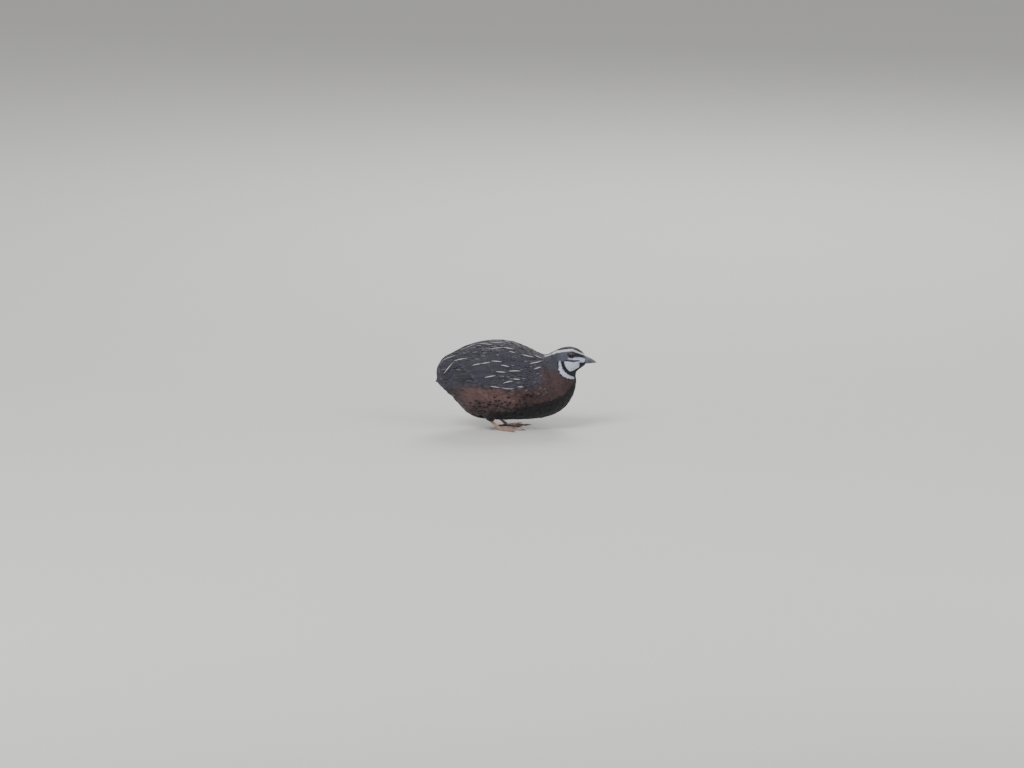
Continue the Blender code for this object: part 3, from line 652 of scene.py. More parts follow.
def makeCoatPiece(name, material):
    vertices, floats, loops, totals = [], {}, [], []
    start = 0
    for shape, points, share, size, paint, stain in coat[name]:
        count, rows, ring = points.shape[:3]
        faces = vaneFaces(rows, ring)
        local = np.concatenate([np.array(f) for f in faces])
        each = rows * ring
        offsets = start + np.arange(count) * each
        loops.append((offsets[:, None] + local[None]).ravel())
        totals.append(np.tile([len(f) for f in faces], count))
        vertices.append(points.reshape(-1, 3))
        for key, values in (("vaneShare", share), ("vaneSize", size), ("tint", paint),
                            ("mark", stain)):
            floats.setdefault(key, []).append(values.reshape(-1, values.shape[-1]))
        start += count * each
    vertices, loops, totals = (np.concatenate(part) for part in (vertices, loops, totals))
    mesh = bpy.data.meshes.new(name)
    mesh.vertices.add(len(vertices))
    mesh.vertices.foreach_set("co", (vertices * mm).astype(np.float32).ravel())
    mesh.loops.add(len(loops))
    mesh.loops.foreach_set("vertex_index", loops.astype(np.int32))
    mesh.polygons.add(len(totals))
    starts = np.concatenate([[0], np.cumsum(totals)[:-1]])
    mesh.polygons.foreach_set("loop_start", starts.astype(np.int32))
    mesh.polygons.foreach_set("loop_total", totals.astype(np.int32))
    bakeMap = mesh.uv_layers.new(name="OFBake")
    bakeMap.data.foreach_set("uv", bakePatches(name)[loops].astype(np.float32).ravel())
    for key, values in floats.items():
        values = np.concatenate(values)
        kind, field = ("FLOAT_VECTOR", "vector") if values.shape[1] == 3 else (
            "FLOAT_COLOR", "color")
        layer = mesh.attributes.new(key, kind, "POINT")
        layer.data.foreach_set(field, values.astype(np.float32).ravel())
    mesh.update()
    mesh.validate()
    print(f"{name}: {sum(totals - 2)} triangles")
    return addPiece(name, mesh, material, 75)


def sidePoints(x, v, side):
    # places on the skin that show at these side-view coordinates
    across = np.array((0, math.cos(sideTilt), -math.sin(sideTilt)))
    upwards = np.array((0, math.sin(sideTilt), math.cos(sideTilt)))
    flip = np.array((1, -side, 1))
    found = []
    for xk, vk in zip(x, v):
        # the second look allows for how far the feathers stand off the skin
        for stand in (0, paleFeather["stand"]):
            hit = None
            if stand:
                vk -= stand * float(faceNormals[index] @ (upwards * flip))
            while hit is None:
                start = (np.array((xk, 0, 0)) + upwards * vk - across * 120) * flip
                hit, _, index, _ = skinTree.ray_cast(Vector(start), Vector(across * flip))
                vk -= 0.4 if hit is None else 0
        if hit.y * side < paleFeather["fromMiddle"]:
            above = Vector((xk, paleFeather["fromMiddle"] * side, 120))
            hit = skinTree.ray_cast(above, -up)[0]
        found.append(hit[:])
    return np.array(found)


borders = {
    "backLow": 58, "rumpFront": -52, "breastRear": 8, "breastTop": 60, "bellyTop": 24,
    "bellyFront": 30, "neck": 112, "face": 127, "crownLow": 67.5,
}


def pieceOf(points, reach, view):
    # which piece a feather belongs to
    depth, _, _ = wingZone(points)
    left = points[:, 1] > 0
    x, z, v = points[:, 0], points[:, 2], view[:, 1]
    names = np.where(v > borders["backLow"], "back_feathers", "flank_feathers").astype(object)
    names[x < borders["rumpFront"]] = "rump_feathers"
    names[(x > borders["breastRear"]) & (v < borders["breastTop"])] = "breast_feathers"
    names[(z < borders["bellyTop"]) & (x < borders["bellyFront"])] = "belly_feathers"
    for part, where in (("wing", depth > 0), ("neck", reach > borders["neck"]),
                        ("face", reach > borders["face"])):
        names[where & left] = f"{part}_left_feathers"
        names[where & ~left] = f"{part}_right_feathers"
    names[(reach > borders["face"]) & (v > borders["crownLow"])] = "crown_feathers"
    return names


paleFeather = {
    "under": 4.5, "halfWidth": 1.8, "streak": 0.36, "lift": 0.25, "most": 17.0,
    "fromMiddle": 3.5,  # none comes nearer to the middle of the back
    "stand": 1.8, "moved": (2.4, 1.3),
}


def growPaleFeathers():
    # long feathers whose pale shafts draw the lines that show on the back and wings
    for side in (1, -1):
        for line in paleLines:
            drawn = curvePoints(line, 13) if len(line) > 2 else np.linspace(*line, 13)
            if side > 0:  # the left side has its own
                drawn = drawn + chance.normal(0, paleFeather["moved"])
            length = np.linalg.norm(np.diff(drawn, axis=0), axis=1).sum()
            pieces = int(np.ceil(length / paleFeather["most"]))
            for k in range(pieces):
                part = drawn[k * 12 // pieces:(k + 1) * 12 // pieces + 1]
                way = part[0] - part[1]
                part = np.vstack([part[0] + way / np.linalg.norm(way) * paleFeather["under"], part])
                layPaleFeather(part, side)


def layPaleFeather(part, side):
    rows, one = np.array(quill["rows"]), np.ones(1)
    spots = sidePoints(part[:, 0], part[:, 1], side)
    along = np.concatenate([[0], np.cumsum(np.linalg.norm(np.diff(part, axis=0), axis=1))])
    spots[:, 1] = np.polyval(np.polyfit(along, spots[:, 1], 1), along)
    spots, _ = drape(spots)
    steps = np.linalg.norm(np.diff(spots, axis=0), axis=1)
    reach = np.concatenate([[0], np.cumsum(steps)])
    middle = np.stack([np.interp(rows * reach[-1], reach, spots[:, c]) for c in range(3)], 1)
    for _ in range(6):
        middle[1:-1] = (middle[:-2] + 2 * middle[1:-1] + middle[2:]) / 4
    middle, outs = drape(middle)
    lifts = coatAt(bodyPlace(middle)[0])[3]
    sides = np.cross(outs, unit(np.gradient(middle, axis=0)))
    width = paleFeather["halfWidth"] * np.array(quill["widths"])
    rise = -0.3 + (lifts + paleFeather["lift"] + 0.3) * smooth(
        0.0, paleFeather["under"] / reach[-1] * 0.8, rows)
    edges = []
    for sign in (1, -1):
        reached = width * (1 - 0.14 * chance.random(len(rows)) * (rows > 0.4))
        spot, spotOuts = drape(middle + sides * (sign * reached)[:, None])
        edges.append(spot + spotOuts * (rise - 0.3)[:, None])
    laid = [part[None] for part in (middle + outs * rise[:, None], *edges, outs)]
    tone, bars, fringe = plumage(middle[8:9])
    name = pieceOf(middle[8:9], bodyPlace(middle[8:9])[0], sideView(middle[8:9]))[0]
    cream = colour("streak")[None]
    share = one * paleFeather["streak"] / paleFeather["halfWidth"]
    buildVanes(name, quill, laid, one * reach[-1], one * paleFeather["halfWidth"], tone * 0.85,
               colour("backDark")[None], share * 2.1, bars, fringe, chance.random(1))
    growStreaks(name, laid, quill, one * reach[-1], one * paleFeather["halfWidth"], share, cream,
                paleFeather["under"] / reach[-1] * 0.85)


def growStreaks(name, laid, shape, lengths, halfWidths, marks, tones, start=0.3):
    # the pale streak itself, a narrow vane on the feather's shaft
    middle, left, right, outs = laid
    rows = np.array(shape["rows"])
    at = start + (0.985 - start) * np.array(streakShape["rows"])
    fits = []
    for part in (middle, outs):
        fits.append(np.stack([
            np.stack([np.interp(at, rows, part[i, :, c]) for c in range(3)], 1)
            for i in range(len(part))]))
    spine, normals = fits
    spine = spine + normals * (shape["dome"] * 0.6 + shape["shaft"] + 0.03)
    across = unit(np.cross(normals, np.gradient(spine, axis=1)))
    width = (marks * halfWidths)[:, None] * np.array(streakShape["widths"])
    near = [spine + across * (sign * width)[..., None] - normals * 0.05 for sign in (1, -1)]
    none = np.zeros(len(middle))
    buildVanes(name, streakShape, (spine, *near, normals), lengths, marks * halfWidths, tones,
               tones, none, none, none, chance.random(len(middle)))


def growBarbs(name, laid, pairs, halfWidths, tint, seeds):
    # loose barbs that stand out past a feather's edges and soften its outline
    middle, left, right, outs = laid
    count = len(middle)
    for first, last in pairs:
        for edge in (left, right):
            start = middle[:, first] + (edge[:, first] - middle[:, first]) * 0.45
            over = edge[:, last] + outs[:, last] * 0.06
            way = unit(over - start)
            past = halfWidths * (0.06 + 0.24 * chance.random(count))
            tip = over + way * past[:, None] - outs[:, last] * (past * 0.25)[:, None]
            line = np.stack([start + outs[:, first] * 0.08, (start + over) / 2 + outs[:, last] * 0.1,
                             tip], 1)
            normals = np.stack([outs[:, first], outs[:, last], outs[:, last]], 1)
            across = unit(np.cross(normals, way[:, None]))
            width = np.array(barb["widths"]) * (0.028 * halfWidths.mean() + 0.025)
            near = [line + across * (sign * width)[None, :, None] for sign in (1, -1)]
            shade = tint * (0.88 + 0.3 * chance.random(count))[:, None]
            none = np.zeros(count)
            long = np.linalg.norm(tip - start, axis=1)
            buildVanes(name, barb, (line, *near, normals), long, none + width[0], shade, shade,
                       none, none, none, seeds)


def growCoat():
    # the body's feathers: sizes by the coat's table, colours by the plumage's markings
    roots = scatterRoots()
    places, normals = drape(roots)
    eyeGap = np.array([fromEye(p) for p in places])
    steep = np.abs(dots(normals, bodyPlace(places)[1])[:, 0]) > 0.82
    keep = (eyeGap > eye["lidReach"] + 0.05) & (places[:, 2] > 9.2) & (
        (normals[:, 0] < 0.93) | (places[:, 0] < 60)) & ~(steep & (np.abs(places[:, 0]) < 40))
    places, normals, eyeGap = places[keep], normals[keep], eyeGap[keep]
    reach, _, _ = bodyPlace(places)
    view = sideView(places)
    depth, t, angle = wingZone(places)
    _, lengths, halfWidths, lifts, _ = coatAt(reach)
    count = len(places)
    ways = lieAt(places, normals)
    turn = chance.normal(0, 0.1, count)[:, None]
    ways = ways * np.cos(turn) + np.cross(normals, ways) * np.sin(turn)
    upper = (view[:, 1] > 44) & (reach < 112)
    halfWidths = np.where(upper, halfWidths * 0.76, halfWidths)
    lengths = lengths * chance.normal(1, 0.08, count).clip(0.8, 1.2)
    onLeg = legShare(places)
    lengths = lengths * (1 - 0.58 * onLeg)
    halfWidths = halfWidths * (1 - 0.45 * onLeg)
    lifts = lifts * (1 - 0.5 * onLeg)
    lifts = lifts * chance.normal(1, 0.14, count).clip(0.6, 1.4)
    # those beneath the flight feathers lie close
    beneath = (depth > 2) & (t > 0.5) & (angle < 38)
    lifts = np.where(beneath, lifts * 0.45, lifts)
    # feathers ahead of an eye stop short of its lids
    ahead = (places[:, 0] > eye["centre"][0] - 0.5) & (eyeGap < 6.5)
    lengths = np.where(ahead, np.minimum(lengths, np.maximum(eyeGap - 2.0, 0.7)), lengths)
    close = smooth(5.0, 3.0, eyeGap)
    lifts = lifts * (1 - 0.45 * close)
    lengths = lengths * (1 - 0.3 * close)
    # looks are read where the vane's outer part shows
    seen, _ = drape(places + ways * (lengths * 0.72)[:, None])
    tone, bars, fringe = plumage(seen)
    vary = chance.normal(1, 0.08, count).clip(0.78, 1.25)
    tone = tone * vary[:, None]
    names = pieceOf(places, reach, view)
    marks, markTone = chooseMarks(names, seen, sideView(seen), count)
    kinds = np.where(reach > 129, 3, np.where(reach > 112, 2, np.where(upper, 1, 0)))
    for name in sorted(set(names)):
        for kind, shape in enumerate((contour, lance, small, tiny)):
            pick = (names == name) & (kinds == kind)
            if not pick.any():
                continue
            ragged = (0.06, 0.05, 0.08, 0.08)[kind]
            laid = layVanes(places[pick], ways[pick], lengths[pick], halfWidths[pick],
                            lifts[pick], shape, ragged, base=(-0.3, -0.3, -0.2, -0.12)[kind])
            # those that a crease in the skin would fold are left out
            steps = unit(np.diff(laid[0], axis=1))
            turns = (steps[:, 1:] * steps[:, :-1]).sum(2).min(1)
            flat = (turns >= 0.55) | (eyeGap[pick] < 5.5)
            pick[np.flatnonzero(pick)[~flat]] = False
            laid = [part[flat] for part in laid]
            tint = tone[pick]
            if kind == 3:
                # on the head each vane is coloured along its length, so that the lines stay sharp
                rows = laid[0].shape[1]
                along = plumage(laid[0].reshape(-1, 3))[0].reshape(-1, rows, 3)
                tint = along * vary[pick][:, None, None]
            seeds = chance.random(pick.sum())
            buildVanes(name, shape, laid, lengths[pick], halfWidths[pick], tint,
                       markTone[pick], marks[pick], bars[pick], fringe[pick], seeds)
            if kind < 3:
                growBarbs(name, laid, barbRows["small" if kind == 2 else "contour"],
                          halfWidths[pick], tone[pick], seeds)
            pale = (markTone[pick].mean(1) > 0.15) & (marks[pick] > 0.08)
            if pale.any():
                growStreaks(name, [part[pale] for part in laid], shape, lengths[pick][pale],
                            halfWidths[pick][pale], marks[pick][pale], markTone[pick][pale], 0.35)


def chooseMarks(names, seen, view, count):
    # the width and colour of each feather's central mark; drop-shaped where it is below zero
    draw = chance.random(count)
    marks = np.zeros(count)
    tone = np.tile(colour("backDark"), (count, 1))
    x, v = view[:, 0], view[:, 1]
    upper = np.isin(names, ("back_feathers", "wing_left_feathers", "wing_right_feathers",
                            "rump_feathers"))
    dark = upper & (draw < 0.8)
    marks[dark] = 0.2 + 0.25 * chance.random(dark.sum())
    pale = upper & (draw > 0.9)
    marks[pale] = 0.1
    tone[pale] = colour("streak") * 0.5
    # black drops down the flanks, crowded in a band below the middle
    flank = np.isin(names, ("flank_feathers", "belly_feathers", "breast_feathers")) & (v < 34)
    chancy = 0.06 + 0.7 * np.exp(-(((v - 23.5) / 2.8) ** 2)) + 0.8 * np.exp(
        -(((v - 16) / 3.0) ** 2))
    chancy = chancy * smooth(-44, -36, x) + 0.12 * smooth(6, -4, np.abs(x + 50))
    drops = flank & (draw < chancy) & (x < 20)
    marks[drops] = -0.35 - 0.35 * chance.random(drops.sum())
    tone[drops] = colour("black")
    chest = (names == "breast_feathers") & (draw < 0.45) & (x >= 20)
    marks[chest] = 0.16
    tone[chest] = colour("black")
    marks[np.char.startswith(names.astype(str), "face") | (names == "crown_feathers")] = 0.0
    return marks, tone


# Wings and tail

wing = {
    "wristX": 33.0, "axisZ": 49.0, "degrees": 1.9,
    # each tier: count, lowest root and tip, highest root and tip, half widths, lifts of root
    # and tip; places are millimetres back from the wrist and round from the side
    "tiers": (
        ("primary", 8, (46, -4), (84, -3), (50, 5), (93, 6), 3.0, 3.2, 0.5, 0.9),
        ("secondary", 9, (32, -6), (66, -5), (44, 17), (86, 20), 4.4, 5.4, 0.6, 1.5),
        ("greater", 12, (20, -10), (43, -8), (32, 16), (64, 21), 2.9, 3.7, 0.7, 1.7),
    ),
}
tail = {"count": 10, "root": (-61.0, 4.6, 56.0), "tip": (-75.6, 10.6, 43.8), "halfWidth": 3.0}


def wingSpots(along, across, side):
    places, outs = np.empty((len(along), 3)), np.empty((len(along), 3))
    for i, (a, c) in enumerate(zip(along, across)):
        angle = math.radians(c * wing["degrees"])
        out = Vector((0, side * math.cos(angle), math.sin(angle)))
        axis = Vector((wing["wristX"] - a, 0, wing["axisZ"]))
        place, _, index, _ = skinTree.ray_cast(axis + out * 70, -out)
        places[i], outs[i] = place, faceNormals[index]
    return places, outs


def makeWing(side, word):
    # flight feathers and greater coverts, laid in tiers over the body's side
    name = f"wing_{word}_feathers"
    rows = np.array(quill["rows"])
    for tier, count, lowRoot, lowTip, highRoot, highTip, thin, wide, sunk, high in wing["tiers"]:
        for k in range(count):
            share = k / (count - 1)
            root = np.array(lowRoot) + (np.array(highRoot) - lowRoot) * share
            tip = np.array(lowTip) + (np.array(highTip) - lowTip) * share
            tip = tip + chance.normal(0, 0.4, 2)
            width = thin + (wide - thin) * share
            course = tip - root
            bow = np.sin(rows * math.pi) * 0.9
            way = course / np.linalg.norm(course)
            cross = np.array((-way[1], way[0]))
            line = root + rows[:, None] * course + bow[:, None] * cross
            rise = sunk + (high - sunk) * rows + 0.18 * (k % 2)
            sides = []
            for sign in (0, 1, -1):
                reach = sign * width * np.array(quill["widths"])
                reach = reach * (1 - 0.05 * chance.random(len(rows)))
                spots, outs = wingSpots(line[:, 0] + cross[0] * reach,
                                        line[:, 1] + cross[1] * reach, side)
                sides.append(spots + outs * (rise - 0.2 * abs(sign))[:, None])
                if sign == 0:
                    middleOuts = outs
            if side < 0:
                sides[1], sides[2] = sides[2], sides[1]
            laid = [part[None] for part in (*sides, middleOuts)]
            tone = colour("wing" if tier != "primary" else "quill")[None]
            tone = tone * chance.normal(1, 0.05)
            length = np.array([np.linalg.norm(course)])
            one = np.ones(1)
            shaft = tone * 0.55
            buildVanes(name, quill, laid, length, one * width, tone, shaft, one * 0.03,
                       one * (0.75 if tier != "primary" else 0.45), one, chance.random(1))


def makeTail():
    # tail feathers, a short fan bent down behind the rump
    rows = np.array(quill["rows"])
    for k in range(tail["count"]):
        share = 2 * k / (tail["count"] - 1) - 1
        root = np.array(tail["root"]) * (1, share, 1)
        tip = np.array(tail["tip"]) * (1, share, 1)
        tip = tip + np.array((2.4 * share**2, 0, 2.2 * abs(share)))
        line = root + rows[:, None] * (tip - root)
        line[:, 0] -= 1.4 * np.sin(rows * math.pi)
        line[:, 2] += 1.0 * np.sin(rows * math.pi) + 0.25 * (1 - abs(share))
        ways = unit(np.gradient(line, axis=0))
        outward = unit(np.array((-0.75, 0.75 * share, 0.45)))
        outs = unit(outward - ways * dots(ways, outward))
        sides = np.cross(outs, ways)
        width = tail["halfWidth"] * np.array(quill["widths"])
        edges = [line + sides * (sign * width)[:, None] - outs * 0.2 for sign in (1, -1)]
        laid = [part[None] for part in (line, *edges, outs)]
        one = np.ones(1)
        buildVanes("tail_feathers", quill, laid, one * np.linalg.norm(tip - root),
                   one * tail["halfWidth"], colour("back")[None] * 0.9,
                   colour("buff")[None] * 0.5, one * 0.05, one * 0.7, one * 0.5,
                   chance.random(1))


# Eyes, bill and legs

bill = {
    "base": (62.6, 64.35), "length": 13.3, "lower": 11.7, "slope": math.radians(8),
    "width": 2.95, "depth": 5.3, "lowerWidth": 2.5, "lowerDepth": 2.3, "lean": 0.12,
    "nostril": (68.6, 1.55), "rings": 90, "around": 120,
}
leg = {
    "stance": 12.5, "step": {"left": -10.0, "right": -16.0}, "ankle": 2.3, "top": 8.3,
    "lean": math.radians(42), "radius": 1.3,
    # each toe: heading from straight ahead, outwards, then length, root radius and claw
    "toes": (("middle", 4, 21.0, 1.3, 4.6), ("inner", -32, 15.5, 1.2, 3.8),
             ("outer", 38, 16.5, 1.2, 3.8), ("hind", -168, 6.5, 0.95, 2.4)),
    "scute": 1.15,
}


def ringOf(bm, count, place):
    # a ring of points at place(turn), joined by edges
    made = bmesh.ops.create_circle(bm, segments=count, radius=1)["verts"]
    for k, vert in enumerate(made):
        vert.co = place(2 * math.pi * k / count)
    return made


def bridge(bm, rings, closed=True):
    for low, high in zip(rings, rings[1:]):
        edges = [e for ring in (low, high) for e in {e for v in ring for e in v.link_edges}
                 if all(v in ring for v in e.verts)]
        bmesh.ops.bridge_loops(bm, edges=list(dict.fromkeys(edges)))
    for ring in (rings[0], rings[-1]) if closed else ():
        bmesh.ops.contextual_create(bm, geom=list(ring))
    bmesh.ops.recalc_face_normals(bm, faces=bm.faces)


def makeEyes(material, lidMaterial):
    cx, cy, cz = eye["centre"]
    for side, word in ((1, "left"), (-1, "right")):
        centre = Vector((cx, cy * side, cz))
        gaze = Vector((0.12, side, 0.03)).normalized()
        bm = bmesh.new()
        bmesh.ops.create_icosphere(bm, subdivisions=5, radius=eye["radius"])
        layer = bm.verts.layers.float.new("iris")
        for vert in bm.verts:
            off = vert.co.normalized().angle(gaze)
            vert[layer] = off / eye["iris"]
            vert.co *= 1 + 0.035 * math.exp(-((off / 0.5) ** 4))
        bmesh.ops.translate(bm, vec=centre, verts=bm.verts)
        ball = newObject(f"eyeball_{word}", bm, material)
        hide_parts(f"eye_{word}")
        makeLids(centre, side, word, lidMaterial)


def makeLids(centre, side, word, material):
    # upper and lower lid: a ring of folded skin hugging the eyeball round an almond opening
    wide, tall = eye["opening"]
    outer = eye["lidReach"] + 0.45
    # each fold: its share of the way out to the skin beyond, and how far it stands up
    folds = ((0.0, -0.2), (0.03, 0.02), (0.09, 0.14), (0.18, 0.19), (0.27, 0.1), (0.37, 0.16),
             (0.5, 0.13), (0.65, 0.1), (0.82, 0.06), (1.0, -0.3))
    bm = bmesh.new()
    rings = []
    for share, lift in folds:
        def place(turn, share=share, lift=lift):
            across, rise = math.cos(turn), math.sin(turn)
            x = wide * (1 + 0.16 * abs(across) ** 4) * across * (1 - share)
            z = tall * rise * (1 - 0.08 * (rise > 0)) * (1 - share)
            x, z = x + outer * eye["oval"] * across * share, z + outer * rise * share
            crease = 0.03 * math.sin(turn * 11 + share * 9) * (lift > 0.09)
            start = Vector((centre.x + x, side * 40, centre.z + z))
            flesh = skinTree.ray_cast(start, Vector((0, -side, 0)))[0].y * side
            y = max(ballAt(x, z), flesh) + lift + crease
            return Vector((start.x, side * y, start.z))
        rings.append(ringOf(bm, 96, place))
    bridge(bm, rings, closed=False)
    middle = sum((f.normal for f in bm.faces), Vector())
    if middle.y * side < 0:
        bmesh.ops.reverse_faces(bm, faces=bm.faces)
    bmesh.ops.solidify(bm, geom=bm.faces, thickness=0.15)
    newObject(f"lids_{word}", bm, material, 60)


def makeBillHalf(upper, material):
    way = 1 if upper else -1
    length = bill["length"] if upper else bill["lower"]
    baseX, mouth = bill["base"]
    bm = bmesh.new()
    rings = []
    for i in range(bill["rings"]):
        t = i / (bill["rings"] - 1)
        t = 1 - (1 - t) ** 1.25
        if upper:
            width = bill["width"] * math.sqrt(max(1 - t**1.75, 0)) + 0.22
            depth = bill["depth"] * (1 - t**1.55) + 0.3
        else:
            width = bill["lowerWidth"] * (1 - t**1.7) + 0.3
            depth = bill["lowerDepth"] * (1 - t**1.5) + 0.28
        past = max(length * t - bill["lower"], 0)
        edge = mouth - math.tan(bill["slope"]) * length * t - 0.32 * past + way * 0.12

        def place(turn, t=t, width=width, depth=depth, edge=edge):
            across, rise = math.cos(turn), math.sin(turn)
            y = width * math.copysign(abs(across) ** 0.86, across)
            ridge = abs(rise) ** (1.12 if upper else 0.9)
            z = depth * ridge if rise > 0 else -0.1 * abs(rise)
            x = baseX + length * t - bill["lean"] * way * z * (1 - t)
            point = Vector((x, y, edge + way * z))
            if upper and rise > 0:
                # a long slit beneath a swollen flap, near the base
                nx, nz = bill["nostril"]
                dx, dz = (x - nx) / 1.6, z - nz + 0.1 * (x - nx)
                flap = math.exp(-(dx**2 + ((dz - 0.8) / 0.6) ** 2))
                slit = math.exp(-(dx**4 + (dz / 0.27) ** 2))
                point.y += math.copysign(0.45 * flap - 0.85 * slit, y) * (abs(across) > 0.15)
            return point

        rings.append(ringOf(bm, bill["around"], place))
    bridge(bm, rings)
    name = "upper" if upper else "lower"
    piece = newObject(f"mandible_{name}", bm, material, 50)
    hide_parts(f"bill_{name}")


def sweep(bm, points, radii, sides=16, shapeOf=None):
    # a limb along its points; shapeOf(i, turn) scales the ring's radius
    rings = []
    for i, point in enumerate(points):
        before, after = points[max(i - 1, 0)], points[min(i + 1, len(points) - 1)]
        course = (after - before).normalized()
        across = course.cross(up)
        across = across.normalized() if across.length > 1e-6 else Vector((0, 1, 0))
        high = across.cross(course)

        def place(turn, i=i, point=point, across=across, high=high):
            scale = shapeOf(i, turn) if shapeOf else 1
            return point + (across * math.cos(turn) + high * math.sin(turn)) * radii[i] * scale

        rings.append(ringOf(bm, sides, place))
    bridge(bm, rings)


def makeToe(bm, claws, knob, heading, length, radius, claw):
    ahead = Vector((math.cos(heading), math.sin(heading), 0))
    count = max(int(length / 0.3), 12)
    points, radii, runs = [], [], []
    for i in range(count + 1):
        t = i / count
        pad = 0.12 * math.cos(math.pi * 6 * t) * (0.3 + 0.7 * t)
        thick = radius * (1 - 0.4 * t) * (1 + pad)
        if i == count:
            thick *= 0.55
        points.append(knob + ahead * (length * t) + Vector((0, 0, thick * 0.95 - knob.z)))
        radii.append(thick)
        runs.append(length * t)

    def scutes(i, turn):
        step = (runs[i] / leg["scute"]) % 1
        top = max(math.sin(turn), 0) ** 0.5
        low = max(-math.sin(turn), 0)
        return 1 + top * (0.075 * (1 - step) - 0.02) - 0.1 * low + 0.04 * low * math.sin(
            runs[i] * 9 + turn * 7)

    sweep(bm, points, radii, 18, scutes)
    tip = points[-1] - ahead * 0.6
    hooks, thin = [], []
    for i in range(15):
        t = i / 14
        thin.append(radius * 0.46 * (1 - t**1.3) + 0.07)
        hooks.append(tip + ahead * ((claw + 0.6) * t))
        hooks[-1].z = thin[-1] + 0.06 + 0.4 * math.sin(math.pi * t)
    sweep(claws, hooks, thin, 12, lambda i, turn: 1 - 0.18 * abs(math.cos(turn)))


def makeLegs(skinMaterial, clawMaterial):
    for side, word in ((1, "left"), (-1, "right")):
        knob = Vector((leg["step"][word], leg["stance"] * side, leg["ankle"]))
        rise = leg["top"] - leg["ankle"]
        top = knob + Vector((-rise / math.tan(leg["lean"]), side * 0.5, rise))
        bm, claws = bmesh.new(), bmesh.new()
        ball = bmesh.ops.create_icosphere(bm, subdivisions=3, radius=1.85)
        bmesh.ops.translate(bm, vec=knob, verts=ball["verts"])
        for _, heading, length, radius, claw in leg["toes"]:
            makeToe(bm, claws, knob, math.radians(heading) * side, length, radius, claw)
        foot = newObject(f"toes_{word}", bm, skinMaterial, 60)
        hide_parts(f"foot_{word}")
        newObject(f"claws_{word}", claws, clawMaterial, 60)
        bm = bmesh.new()
        course = (top - knob).normalized()
        count = 42
        line = [knob + course * (-0.4 + (top - knob).length * 1.55 * i / count)
                for i in range(count + 1)]
        reach = (top - knob).length * 1.55 / count
        radii = [leg["radius"] * (1.12 - 0.14 * math.sin(math.pi * i / count)) for i in
                 range(count + 1)]

        def shield(i, turn):
            front = max(math.sin(turn), 0) ** 0.6
            step = (i * reach / 1.5) % 1
            return 1 + front * (0.08 * step) - 0.06 * abs(math.cos(turn))

        sweep(bm, line, radii, 20, shield)
        shank = newObject(f"shank_{word}", bm, skinMaterial, 60)
        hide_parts(f"tarsus_{word}")


# Materials

def link(tree, source, target):
    tree.links.new(source, target)


def addNode(tree, kind, **settings):
    made = tree.nodes.new(kind)
    for key, value in settings.items():
        setattr(made, key, value)
    return made


def maths(tree, operation, a, b=None, c=None, clamp=False):
    made = addNode(tree, "ShaderNodeMath", operation=operation, use_clamp=clamp)
    for socket, value in zip(made.inputs, (a, b, c)):
        if value is None:
            continue
        if isinstance(value, (int, float)):
            socket.default_value = value
        else:
            link(tree, value, socket)
    return made.outputs[0]


def ramp(tree, value, low, high):
    # a smooth step from 0 at low to 1 at high
    made = addNode(tree, "ShaderNodeMapRange", interpolation_type="SMOOTHSTEP")
    for socket, given in ((made.inputs["Value"], value), (made.inputs["From Min"], low),
                          (made.inputs["From Max"], high)):
        if isinstance(given, (int, float)):
            socket.default_value = given
        else:
            link(tree, given, socket)
    return made.outputs[0]


def blendColour(tree, kind, share, a, b):
    made = addNode(tree, "ShaderNodeMix", data_type="RGBA", blend_type=kind)
    for socket, value in ((made.inputs[0], share), (made.inputs[6], a), (made.inputs[7], b)):
        if isinstance(value, (int, float)):
            socket.default_value = value
        elif isinstance(value, (tuple, list, np.ndarray)):
            socket.default_value = (*value[:3], 1)
        else:
            link(tree, value, socket)
    return made.outputs[2]


def noise(tree, vector, scale, detail=3.0, rough=0.5):
    made = addNode(tree, "ShaderNodeTexNoise")
    link(tree, vector, made.inputs["Vector"])
    made.inputs["Scale"].default_value = scale
    made.inputs["Detail"].default_value = detail
    made.inputs["Roughness"].default_value = rough
    return made.outputs["Fac"]


def scaled(tree, value, factor, plus):
    return maths(tree, "ADD", maths(tree, "MULTIPLY", value, factor), plus)


def greyOf(tree, value):
    # a colour with one value in all three channels
    made = addNode(tree, "ShaderNodeCombineColor")
    for socket in made.inputs[:3]:
        link(tree, value, socket)
    return made.outputs[0]


def addBump(tree, shader, height, strength, distance):
    relief = addNode(tree, "ShaderNodeBump")
    relief.inputs["Strength"].default_value = strength
    relief.inputs["Distance"].default_value = distance
    link(tree, height, relief.inputs["Height"])
    link(tree, relief.outputs["Normal"], shader.inputs["Normal"])


def newGroup(name, inputs, outputs):
    # a shader node group with named sockets, and its input and output nodes
    group = bpy.data.node_groups.new(name, "ShaderNodeTree")
    for way, sockets in (("INPUT", inputs), ("OUTPUT", outputs)):
        for label, kind in sockets:
            group.interface.new_socket(name=label, in_out=way, socket_type=kind)
    return group, group.nodes.new("NodeGroupInput"), group.nodes.new("NodeGroupOutput")


